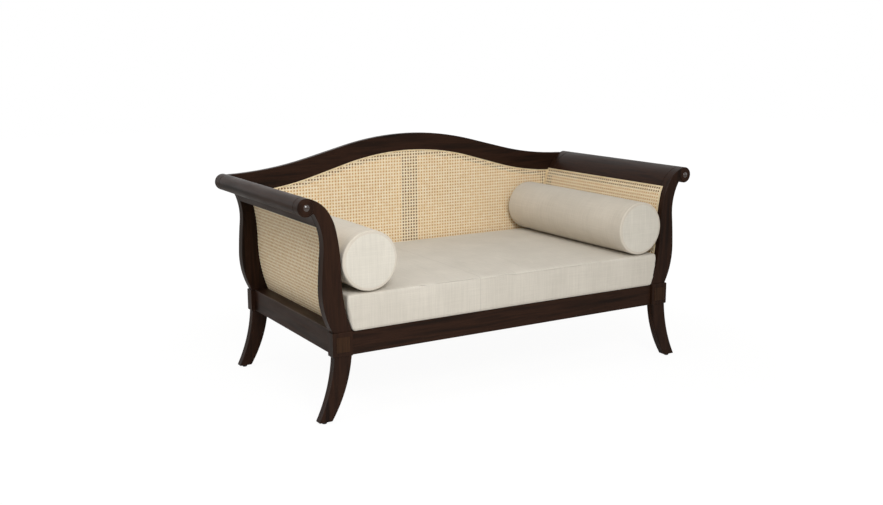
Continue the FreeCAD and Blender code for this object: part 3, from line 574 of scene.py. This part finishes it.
def points_of(mesh):
    points = np.empty(len(mesh.vertices) * 3)
    mesh.vertices.foreach_get("co", points)
    return points.reshape(-1, 3)


def prism(rings):
    """A closed three-sided strand of unit length with the given number of rings along it."""
    if rings not in prisms:
        shape = bmesh.new()
        bmesh.ops.create_cone(shape, cap_ends=True, segments=3, radius1=1, radius2=1, depth=1)
        long_edges = [e for e in shape.edges if e.verts[0].co.z * e.verts[1].co.z < 0]
        if rings > 2:
            bmesh.ops.subdivide_edges(shape, edges=long_edges, cuts=rings - 2, use_grid_fill=True)
        for face in shape.faces:
            face.material_index = int(all(vert.co.y < 0 for vert in face.verts))
        mesh = bpy.data.meshes.new("strand")
        shape.to_mesh(mesh)
        shape.free()
        prisms[rings] = mesh, points_of(mesh)
    return prisms[rings]


print("faces of a strand with 4 rings:", len(prism(4)[0].polygons))

# %% [markdown]
# ## The pattern
#
# Chair cane repeats about every half inch: a pair of upright strands, a pair of level ones, and one
# strand along each diagonal, which leaves eight-sided holes. Each of these families is a list of
# parallel lines on a flat sheet. Writing them as lines, not as shapes, lets every panel cut them to
# its own outline.

# %% Strand lines
PITCH = 0.0131
UPRIGHT_HALF = 0.00175
UPRIGHT_STRAND = 0.00138
LEVEL_HALF = 0.0012
STRAND_HALF = 0.00104
SLANT_HALF = 0.0009
PLAIN_WAVE = 0.00030
SLANT_WAVE = 0.00052


def repeats(low, high):
    """The numbers of the repeats between two places."""
    return range(math.ceil(low / PITCH), math.floor(high / PITCH) + 1)


def upright_lines(low, high):
    pair = (-UPRIGHT_HALF, UPRIGHT_HALF)
    return [((i * PITCH + side, 0), i) for i in repeats(low[0], high[0]) for side in pair]


def level_lines(low, high):
    pair = (-LEVEL_HALF, LEVEL_HALF)
    return [((0, j * PITCH + side), j) for j in repeats(low[1], high[1]) for side in pair]


def slanted_lines(low, high):
    """Lines through the middles of the holes, named by where they cross the level line at nought."""
    numbers = range(math.floor(low / PITCH), math.ceil(high / PITCH) + 1)
    return [(((k + 0.5) * PITCH, 0), 0) for k in numbers]


def rising_lines(low, high):
    return slanted_lines(low[0] - high[1], high[0] - low[1])


def falling_lines(low, high):
    return slanted_lines(low[0] + low[1], high[0] + high[1])


# each family: direction, lines, half a strand's width, distance between rings, wave and its sign
FAMILIES = [
    ((0, 1), upright_lines, UPRIGHT_STRAND, PITCH, PLAIN_WAVE, 1),
    ((1, 0), level_lines, STRAND_HALF, PITCH, PLAIN_WAVE, -1),
    ((1, 1), rising_lines, SLANT_HALF, PITCH / 2, SLANT_WAVE, 1),
    ((1, -1), falling_lines, SLANT_HALF, PITCH / 2, SLANT_WAVE, -1),
]
print("strand families:", len(FAMILIES))

# %% [markdown]
# ## Weaving
#
# A strand waves up and down, over one neighbour and under the next, which a cosine with the right
# sign gives. The panel decides two things: which stretches of a line lie inside it, and where a point
# of the flat pattern lies in space. Both come in as functions, so flat and bent panels share this.

# %% Weave
STRAND_THICK = 0.00034
PRISM_HALF = 0.866
RING_ROOM = 0.15


def weave(low, high, spans, place):
    """All strands of a panel: spans(start, way) gives stretches, place(u, v, w) points in space."""
    shape = bmesh.new()
    found = []
    for way, lines_of, half, step, wave, sign in FAMILIES:
        way = np.array(way, float)
        side = np.array((way[1], -way[0])) / np.linalg.norm(way)
        for start, count in lines_of(low, high):
            start = np.array(start, float)
            for first, last in spans(start, way):
                first_ring = math.ceil(first / step + RING_ROOM)
                last_ring = math.floor(last / step - RING_ROOM)
                inner = np.arange(first_ring, last_ring + 1) * step
                stops = np.concatenate(([first], inner, [last]))
                mesh, points = prism(len(stops))
                shape.from_mesh(mesh)
                ring = np.rint((points[:, 2] + 0.5) * (len(stops) - 1)).astype(int)
                turn = stops / step + (count if step == PITCH else 0)
                height = (sign * wave * np.cos(math.pi * turn))[ring] + points[:, 1] * STRAND_THICK
                flat = start + stops[ring, None] * way + points[:, :1] * half * side / PRISM_HALF
                found.append(place(flat[:, 0], flat[:, 1], height))
    for vert, spot in zip(shape.verts, np.concatenate(found)):
        vert.co = spot
    bmesh.ops.recalc_face_normals(shape, faces=shape.faces)
    return shape


def cane(name, dark, middle, light, gloss):
    """Cane in three tones, with fibres too fine to see one by one."""
    made, tree, shader = material(name)
    tone = noise(tree, even(60), detail=3)
    fibre = noise(tree, even(700), detail=2)
    colour = ramp(tree, tone, [(0.3, dark), (0.55, middle), (0.75, light)])
    link(tree, tinted(tree, colour, spread(tree, fibre, 0.9, 1.05)), shader.inputs["Base Color"])
    link(tree, spread(tree, tone, *gloss), shader.inputs["Roughness"])
    shader.inputs["Specular IOR Level"].default_value = 0.3
    relief(tree, shader, fibre, 0.0001, 0.4)
    return made


SKIN_TONES = linear(244, 222, 184), linear(252, 236, 204), linear(255, 243, 218)
PITH_TONES = linear(206, 184, 146), linear(220, 200, 164), linear(230, 212, 178)
cane_skin = cane("cane_skin", *SKIN_TONES, (0.38, 0.55))
cane_pith = cane("cane_pith", *PITH_TONES, (0.6, 0.8))


def panel_piece(name, shape, replaced):
    mesh = bpy.data.meshes.new(name)
    shape.to_mesh(mesh)
    shape.free()
    piece = new_piece(name, mesh, "frame", replaced)
    for made in (cane_skin, cane_pith):
        mesh.materials.append(made)
    print(name, "triangles:", sum(len(p.vertices) - 2 for p in mesh.polygons))


print("cane materials:", cane_skin.name, cane_pith.name)

# %% [markdown]
# ## Cane in the back
#
# The back has a panel in front and one behind. Each strand ends where a ray in the middle of the CAD
# sheet leaves that sheet, which fits the weave to the curved crest and to the scrolled posts without
# drawing the outline again. Each panel is made as a left and a right half, to keep the pieces small.

# %% Back panels
END_GAP = 0.0004
SHORTEST = PITCH / 4
RAY_REACH = 3.0
RAY_SKIP = 1e-5


def sheet_spans(name, plane_y, half):
    """Stretches of a line in the plane of a CAD sheet that lie inside one half of the sheet."""
    surface = cad_surface(name)

    def crossings(start, way):
        """Where the line enters or leaves the sheet, in lengths of its direction."""
        length = float(np.linalg.norm(way))
        ray_way = Vector((way[0] / length, 0, way[1] / length))
        origin = Vector((start[0], plane_y, start[1])) - ray_way * RAY_REACH
        hits = []
        travelled = 0.0
        while travelled < 2 * RAY_REACH:
            here = origin + ray_way * travelled
            spot, _, _, distance = surface.ray_cast(here, ray_way, 2 * RAY_REACH - travelled)
            if spot is None:
                break
            travelled += distance
            hits.append((travelled - RAY_REACH) / length)
            travelled += RAY_SKIP
        return [h for n, h in enumerate(hits) if n == 0 or h - hits[n - 1] > 2 * RAY_SKIP]

    def spans(start, way):
        hits = crossings(start, way)
        stretches = []
        for first, last in zip(hits[::2], hits[1::2]):
            first, last = first + END_GAP, last - END_GAP
            if not way[0]:
                if start[0] * half < 0:
                    continue
            elif half > 0:
                first = max(first, -start[0] / way[0] + END_GAP / 2)
            else:
                last = min(last, -start[0] / way[0] - END_GAP / 2)
            if last - first > SHORTEST:
                stretches.append((first, last))
        return stretches

    return spans


def back_panel(name, facing):
    low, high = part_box(name)
    middle = (low.y + high.y) / 2

    def place(u, v, w):
        return np.stack((u, np.full_like(u, middle) + facing * w, v), 1)

    for half, side in ((-1, "left"), (1, "right")):
        spans = sheet_spans(name, middle, half)
        shape = weave((low.x, low.z), (high.x, high.z), spans, place)
        panel_piece(f"{name}_{side}", shape, name)


back_panel("back_front_cane", -1)
back_panel("back_rear_cane", 1)

# %% [markdown]
# ## Lining
#
# The holes of the cane look tan and never show the white behind, so a tan cloth lies close behind
# each panel, as painted shade for the shaded inside of the double cane. In the back it is the CAD
# sheet of the front panel again, pressed thin and pushed a hair's breadth into the wood, so the
# centre stile and the ledge of the crest still show through the holes.

# %% Lining of the back
LINING_BACK = 0.0003
LINING_THICK = 0.0003
SORT_WAY = Vector((1, math.sqrt(2), math.sqrt(3)))


def cloth(name, dark, light):
    """Plain cloth: clouds of two tones, and threads as relief."""
    made, tree, shader = material(name)
    threads = noise(tree, even(900), detail=2)
    cloud = noise(tree, even(9), detail=3)
    colour = ramp(tree, cloud, [(0.3, dark), (0.7, light)])
    link(tree, tinted(tree, colour, spread(tree, threads, 0.88, 1.06)), shader.inputs["Base Color"])
    shader.inputs["Roughness"].default_value = 0.9
    shader.inputs["Specular IOR Level"].default_value = 0.1
    relief(tree, shader, threads, 0.0002, 0.5)
    return made


# These tan cloths are painted shade for the shaded inside of the double cane.
back_shade_cloth = cloth("back_shade_lining", linear(208, 162, 108), linear(222, 178, 122))
# The arm cloth is painted shade too, for the shaded inside of the arms.
arm_shade_cloth = cloth("arm_shade_lining", linear(206, 162, 112), linear(220, 178, 128))


def in_order(shape):
    """Sorts a shape's parts by place, because some operators return them in no fixed order."""
    shape.verts.sort(key=lambda vert: vert.co.dot(SORT_WAY))
    shape.edges.sort(key=lambda edge: (edge.verts[0].co + edge.verts[1].co).dot(SORT_WAY))
    shape.faces.sort(key=lambda face: face.calc_center_median().dot(SORT_WAY))


def lining_piece(name, shape, made, replaced):
    in_order(shape)
    bmesh.ops.recalc_face_normals(shape, faces=shape.faces)
    mesh = bpy.data.meshes.new(name)
    shape.to_mesh(mesh)
    shape.free()
    piece = new_piece(name, mesh, "frame", replaced)
    paint(piece, made)
    print(name, "faces:", len(mesh.polygons))


low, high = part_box("back_front_cane")
shape = bmesh.new()
shape.from_mesh(nodes["back_front_cane"].data)
bmesh.ops.remove_doubles(shape, verts=shape.verts, dist=MERGE)
front_half = [vert for vert in shape.verts if vert.co.y < (low.y + high.y) / 2]
bmesh.ops.translate(shape, verts=front_half, vec=(0, high.y - low.y - LINING_THICK, 0))
bmesh.ops.translate(shape, verts=shape.verts, vec=(0, LINING_BACK + LINING_THICK, 0))
lining_piece("back_shade_lining", shape, back_shade_cloth, "back_front_cane")

# %% [markdown]
# ## Cane in the arms
#
# The arm panels are flat strips bent along the S of the posts. Rays across the CAD sheet sample that
# curve, and distance along it becomes the pattern's second direction, so the holes stay square
# however steep the curve is. An arm is caned on both sides: the inner weave lies in the CAD sheet,
# then comes the lining, a plain grid bent the same way, and the outer weave faces the room. The
# lining is painted shade, a tan cloth that darkens the holes like the shaded inside of the arm.

# %% Arm panels
SHEET_HALF = 0.001
SHEET_MARGIN = 0.0003
OUTER_LAYER = 0.0027
CURVE_POINTS = 240
LINING_ROWS = 60
GRID_HALF = 0.5


def arm_curve(name, sign):
    """The middle line of a bent CAD sheet, as points across and up."""
    low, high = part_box(name)
    surface = cad_surface(name)
    outwards = Vector((sign, 0, 0))
    curve = []
    for height in np.linspace(low.z + SHEET_MARGIN, high.z - SHEET_MARGIN, CURVE_POINTS):
        near = surface.ray_cast(Vector((0, (low.y + high.y) / 2, height)), outwards)[0]
        far = surface.ray_cast(near + outwards * RAY_SKIP, outwards)[0]
        curve.append(((near.x + far.x) / 2, height))
    return np.array(curve)


def arm_panel(side):
    name = f"{side}_arm_cane"
    sign = 1 if side == "right" else -1
    low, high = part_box(name)
    curve = arm_curve(name, sign)
    steps = np.hypot(*np.diff(curve, axis=0).T)
    run = np.concatenate(([0], np.cumsum(steps)))
    slope = np.gradient(curve, run, axis=0)
    slope /= np.linalg.norm(slope, axis=1, keepdims=True)
    flat_low, flat_high = np.array((low.y, 0.0)), np.array((high.y, run[-1]))

    def spans(start, way):
        first, last = -math.inf, math.inf
        for axis in range(2):
            to_low, to_high = flat_low[axis] - start[axis], flat_high[axis] - start[axis]
            if way[axis]:
                ends = sorted((to_low / way[axis], to_high / way[axis]))
                first, last = max(first, ends[0]), min(last, ends[1])
            elif not flat_low[axis] + STRAND_HALF < start[axis] < flat_high[axis] - STRAND_HALF:
                return []
        first, last = first + END_GAP, last - END_GAP
        return [(first, last)] if last - first > SHORTEST else []

    def place(u, v, w):
        x, z = (np.interp(v, run, curve[:, k]) for k in range(2))
        lean_x, lean_z = (np.interp(v, run, slope[:, k]) for k in range(2))
        return np.stack((x - sign * w * lean_z, u, z + sign * w * lean_x), 1)

    def place_outside(u, v, w):
        return place(u, v, -OUTER_LAYER - w)

    panel_piece(f"{name}_inner", weave(flat_low, flat_high, spans, place), name)
    panel_piece(f"{name}_outer", weave(flat_low, flat_high, spans, place_outside), name)
    # The lining is painted shade: a tan cloth behind the inner weave that darkens the holes.
    shape = bmesh.new()
    bmesh.ops.create_grid(shape, x_segments=1, y_segments=LINING_ROWS, size=GRID_HALF)
    flat = np.array([vert.co for vert in shape.verts])[:, :2] + GRID_HALF
    flat = flat_low + flat * (flat_high - flat_low)
    behind = -(SHEET_HALF + LINING_BACK) * np.ones(len(flat))
    for vert, spot in zip(shape.verts, place(flat[:, 0], flat[:, 1], behind)):
        vert.co = spot
    bmesh.ops.solidify(shape, geom=shape.faces[:], thickness=LINING_THICK)
    lining_piece(f"{side}_arm_shade_lining", shape, arm_shade_cloth, name)


arm_panel("left")
arm_panel("right")

# %% [markdown]
# ## Reed along the edges
#
# A strip of reed is pressed into the groove round each panel and covers the strand ends. It keeps its
# CAD path. A copy gets the same bevel of about a millimetre as the frame, which softens its edges.

# %% Reed splines
reed = wood("reed_spline", 2, linear(226, 200, 156), linear(244, 224, 186), (0.45, 0.6), 0.3)
reeds = [name for name, slot in slots.items() if slot == "reed_spline"]
for name in reeds:
    piece = softened(name)
    paint(piece, reed)
print("reed pieces:", reeds)

# %% [markdown]
# ## Linen
#
# The covers are an oatmeal linen. Its slubs are thicker yarns, so they show as long faint streaks
# both ways of the cloth. Fine noise along each direction makes the weave itself, as relief. Where two
# pieces of cloth are sewn together, a narrow dip in the relief and a darker line mark the seam. The
# round ends of the bolsters get a slightly paler copy of the linen, painted light where they face the
# lamps, and the bolster linen is a touch warmer, painted warm shade on the roll.

# %% Linen material
TONE = 4


def seam_line(tree, axis, place, half):
    """Nought on a seam, where one coordinate has a value, rising to one at half its width."""
    metres = tree.nodes.new("ShaderNodeTexCoord").outputs["Object"]
    parts = tree.nodes.new("ShaderNodeSeparateXYZ")
    link(tree, metres, parts.inputs[0])
    gap = tree.nodes.new("ShaderNodeMath")
    gap.operation = "SUBTRACT"
    gap.inputs[1].default_value = place
    link(tree, parts.outputs[axis], gap.inputs[0])
    far = tree.nodes.new("ShaderNodeMath")
    far.operation = "ABSOLUTE"
    link(tree, gap.outputs[0], far.inputs[0])
    return spread(tree, far.outputs[0], 0, 1, 0, half)


def linen(name, colour, warp_scale, weft_scale, seams=()):
    """Linen with yarns both ways and sewn lines: axis, place, half the width, and shade."""
    made, tree, shader = material(name)
    warp = noise(tree, warp_scale, detail=2)
    weft = noise(tree, weft_scale, detail=2)
    cloud = noise(tree, even(7), detail=3)
    dark, light = (linear(*[part + change for part in colour]) for change in (-TONE, TONE))
    base = ramp(tree, cloud, [(0.3, dark), (0.7, light)])
    base = tinted(tree, base, spread(tree, warp, 0.94, 1.04))
    base = tinted(tree, base, spread(tree, weft, 0.96, 1.03))
    height = combined(tree, "ADD", warp, weft)
    for axis, place, half, shade in seams:
        line = seam_line(tree, axis, place, half)
        base = tinted(tree, base, spread(tree, line, shade, 1, 0, 1))
        height = combined(tree, "ADD", height, line)
    link(tree, base, shader.inputs["Base Color"])
    shader.inputs["Roughness"].default_value = 0.9
    shader.inputs["Specular IOR Level"].default_value = 0.15
    shader.inputs["Sheen Weight"].default_value = 0.1
    shader.inputs["Sheen Roughness"].default_value = 0.5
    relief(tree, shader, height, 0.0007, 0.45)
    return made


CROWN = 0.0055
UPPER_SEAM = 0.006
LOWER_SEAM = 0.008
SEAM_HALF = 0.0012
JOIN_X = -0.152
JOIN_HALF = 0.0022
FINE, LONG = 420, 9
seat_low, seat_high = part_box("seat_cushion")
seat_edge = seat_high.z - CROWN
seat_seams = [
    ("Z", seat_edge - UPPER_SEAM, SEAM_HALF, 0.98),
    ("Z", seat_low.z + LOWER_SEAM, SEAM_HALF, 0.96),
    ("X", JOIN_X, JOIN_HALF, 0.82),
]
seat_yarns = (FINE, LONG, LONG), (LONG, FINE, FINE)
roll_yarns = (LONG, FINE, LONG), (FINE, LONG, FINE)
end_yarns = (FINE, LONG, LONG), (LONG, LONG, FINE)
seat_linen = linen("cushion_linen", (205, 199, 188), *seat_yarns, seat_seams)
# The bolster linen is a touch warmer, painted warm shade, and its ends are a paler copy, painted
# light.
shaded_roll_linen = linen("bolster_linen", (207, 199, 186), *roll_yarns)
painted_light_end_linen = linen("bolster_end_linen", (212, 207, 196), *end_yarns)
print("linen:", [m.name for m in (seat_linen, shaded_roll_linen, painted_light_end_linen)])

# %% [markdown]
# ## A net for the cushion
#
# Cloth needs an even net of squares. For the cushion, a box with softened edges is cut across in all
# three directions. Each point then slides to the CAD solid, straight down on the crowned top and to
# the nearest place elsewhere, so the net takes over its form.

# %% Net of the cushion
NET = 0.011
SEAM_ROUND = 0.005
SEAT_TAPER = 0.97
STRAIGHT = 0.97
TOP_MARGIN = 0.0005
ABOVE = 0.05


def cut_across(shape, axis, step):
    """Cuts all longer edges that run along one axis into pieces of about the step."""
    runs = []
    for edge in shape.edges:
        way = edge.verts[1].co - edge.verts[0].co
        if way.length > 2 * step and abs(way[axis]) > STRAIGHT * way.length:
            runs.append(edge)
    cuts = round(max(edge.calc_length() for edge in runs) / step) - 1
    bmesh.ops.subdivide_edges(shape, edges=runs, cuts=cuts, use_grid_fill=True)


def cushion_net(name):
    low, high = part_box(name)
    size = Vector((high.x - low.x, high.y - low.y, high.z - CROWN - low.z))
    middle = Vector(((low.x + high.x) / 2, (low.y + high.y) / 2, (low.z + high.z - CROWN) / 2))
    shape = bmesh.new()
    bmesh.ops.create_cube(shape, size=1)
    bmesh.ops.scale(shape, vec=size, verts=shape.verts)
    foot = [vert for vert in shape.verts if vert.co.z < 0]
    bmesh.ops.scale(shape, vec=(SEAT_TAPER, 1, 1), verts=foot)
    bmesh.ops.translate(shape, vec=middle, verts=shape.verts)
    bmesh.ops.bevel(
        shape, geom=shape.edges[:], offset=SEAM_ROUND, offset_type="OFFSET", segments=2,
        profile=0.5, affect="EDGES", material=-1,
    )
    for axis in range(3):
        cut_across(shape, axis, NET)
    surface = cad_surface(name)
    for vert in shape.verts:
        if vert.co.z > high.z - CROWN - TOP_MARGIN:
            above = Vector((vert.co.x, vert.co.y, high.z + ABOVE))
            spot = surface.ray_cast(above, Vector((0, 0, -1)))[0]
        else:
            spot = surface.find_nearest(vert.co)[0]
        vert.co = spot or vert.co
    return shape


print("net of the cushion:", NET * 1000, "mm")

# %% [markdown]
# ## A net for a bolster
#
# A bolster is a roll with round ends. A cylinder cut across its length makes the net of the roll, and
# insetting the ends ring by ring carries it on to the middle, where a poke closes it. A sphere's net
# would crowd its points at the ends.

# %% Net of a bolster
ROLL_NET = 0.008


def bolster_net(name):
    low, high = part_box(name)
    radius = (high.x - low.x) / 2
    shape = bmesh.new()
    around = round(2 * math.pi * radius / ROLL_NET)
    bmesh.ops.create_cone(
        shape, cap_ends=True, segments=around, radius1=radius, radius2=radius,
        depth=high.y - low.y, matrix=Matrix.Rotation(math.pi / 2, 4, "X"),
    )
    cut_across(shape, 1, ROLL_NET)
    ends = [face for face in shape.faces if len(face.verts) > 4]
    for _ in range(int(radius / ROLL_NET) - 1):
        bmesh.ops.inset_individual(shape, faces=ends, thickness=ROLL_NET, use_even_offset=True)
    bmesh.ops.poke(shape, faces=ends)
    bmesh.ops.translate(shape, vec=(low + high) / 2, verts=shape.verts)
    surface = cad_surface(name)
    for vert in shape.verts:
        vert.co = surface.find_nearest(vert.co)[0]
    return shape


print("net of a bolster:", ROLL_NET * 1000, "mm")

# %% [markdown]
# ## Air
#
# The net is drawn in by a few millimetres and the cloth solver blows it up from inside for twenty
# frames without gravity. No point may move much further than it was drawn in. Sculpting the swell by
# hand would also work, but the solver finds where cloth really strains.

# %% Blowing up a cover
DRAWN_IN = 0.003
SLACK = 1.15
FRAMES = 20
TINY = 1e-9


def evaluated(piece):
    """The piece's mesh with its modifiers applied, replacing the mesh it had."""
    graph = bpy.context.evaluated_depsgraph_get()
    mesh = bpy.data.meshes.new_from_object(piece.evaluated_get(graph))
    old = piece.data
    piece.modifiers.clear()
    piece.data = mesh
    bpy.data.meshes.remove(old)
    return mesh


def blown_up(piece):
    """Runs the cloth solver on a piece and limits how far its points move."""
    rest = points_of(piece.data)
    air = piece.modifiers.new("air", "CLOTH")
    settings = air.settings
    settings.quality = 5
    settings.mass = 0.3
    settings.tension_stiffness = 12
    settings.compression_stiffness = 12
    settings.shear_stiffness = 5
    settings.bending_stiffness = 0.4
    settings.use_pressure = True
    settings.uniform_pressure_force = 4
    settings.effector_weights.gravity = 0
    air.collision_settings.use_collision = False
    air.point_cache.frame_start = 1
    air.point_cache.frame_end = FRAMES
    for number in range(1, FRAMES + 1):
        scene.frame_set(number)
    mesh = evaluated(piece)
    scene.frame_set(1)
    moved = points_of(mesh) - rest
    length = np.linalg.norm(moved, axis=1, keepdims=True)
    moved *= np.minimum(1, DRAWN_IN * SLACK / np.maximum(length, TINY))
    mesh.vertices.foreach_set("co", (rest + moved).ravel())
    print(piece.name, "wanted to move", round(float(length.max()) * 1000, 1), "mm")


print("frames of cloth:", FRAMES)

# %% [markdown]
# ## Stuffing
#
# Cloth under tension rounds its corners off, so each point is then led most of the way back to the
# CAD form: the cover fills its place, keeps a little of the unevenness and stays clear of its
# neighbours. Low folds run over the front of the seat, where the cover is slack.

# %% Covers
LED_BACK = 0.8
FOLD_HALF = 0.007
DIP_DEPTH = 0.6
DIP_PLACE = 1.7
# each fold: where it starts and ends on the seat, and its height
FOLDS = [
    ((-0.108, -0.105), (-0.137, -0.360), 0.0027),
    ((0.088, -0.145), (0.062, -0.355), 0.0022),
    ((-0.040, -0.238), (-0.058, -0.377), 0.0015),
    ((0.084, -0.247), (0.032, -0.391), 0.0015),
    ((0.182, -0.240), (0.141, -0.351), 0.0014),
    ((-0.255, -0.059), (-0.285, -0.296), 0.0014),
    ((-0.251, -0.277), (-0.276, -0.361), 0.0012),
]


def led_back(name, points):
    """The points, led most of the way to the nearest places on the CAD form."""
    surface = cad_surface(name)
    spots = np.array([surface.find_nearest(Vector(point))[0] for point in points])
    return spots + (points - spots) * (1 - LED_BACK)


def folded(points):
    """Lifts points on the top of the seat into low folds, each with a shallow dip beside it."""
    on_top = points[:, 2] > seat_edge
    for start, end, height in FOLDS:
        way = np.subtract(end, start)
        length = np.linalg.norm(way)
        way = way / length
        gap = points[:, :2] - start
        run = np.clip(gap @ way / length, 0, 1)
        across = gap @ (way[1], -way[0]) / FOLD_HALF
        bump = np.exp(-across**2) - DIP_DEPTH * np.exp(-((across - DIP_PLACE) ** 2))
        points[:, 2] += on_top * height * np.sin(math.pi * run) * bump
    return points


def stuffed(name, shape, made):
    """The cover of a stuffed piece, from its net."""
    in_order(shape)
    bmesh.ops.recalc_face_normals(shape, faces=shape.faces)
    shape.normal_update()
    for vert in shape.verts:
        vert.co -= vert.normal * DRAWN_IN
    mesh = bpy.data.meshes.new(f"{name}_cover")
    shape.to_mesh(mesh)
    shape.free()
    piece = new_piece(f"{name}_cover", mesh, name, name)
    blown_up(piece)
    finer = piece.modifiers.new("finer", "SUBSURF")
    finer.levels = 1
    finer.render_levels = 1
    mesh = evaluated(piece)
    points = np.clip(led_back(name, points_of(mesh)), *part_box(name))
    if name == "seat_cushion":
        points = folded(points)
    mesh.vertices.foreach_set("co", points.ravel())
    mesh.shade_smooth()
    paint(piece, made)
    print(piece.name, "triangles:", sum(len(p.vertices) - 2 for p in mesh.polygons))
    return piece


print("folds:", len(FOLDS))

# %% [markdown]
# ## Cushion and bolsters
#
# The cushion is one cover. A bolster has its paler ends, painted light, set in a little way inside
# the rim, where the seam of such a roll lies, so the faces there that look along the roll get the
# paler copy.

# %% Cushion and bolsters
END_SEAM = 0.011
stuffed("seat_cushion", cushion_net("seat_cushion"), seat_linen)
for side in ("left", "right"):
    name = f"{side}_bolster"
    piece = stuffed(name, bolster_net(name), shaded_roll_linen)
    # The paler ends are painted light.
    piece.data.materials.append(painted_light_end_linen)
    low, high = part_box(name)
    for face in piece.data.polygons:
        spot = face.center - (low + high) / 2
        inside = math.hypot(spot.x, spot.z) < (high.x - low.x) / 2 - END_SEAM
        face.material_index = int(inside and abs(face.normal.y) > SIDEWAYS)

# %% [markdown]
# ## The size at the end
#
# The dressed sofa should fill the same box as the CAD. The box it fills now is printed.

# %% Size and finish
low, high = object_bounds()
print("box now:", [round(v, 3) for v in high - low])
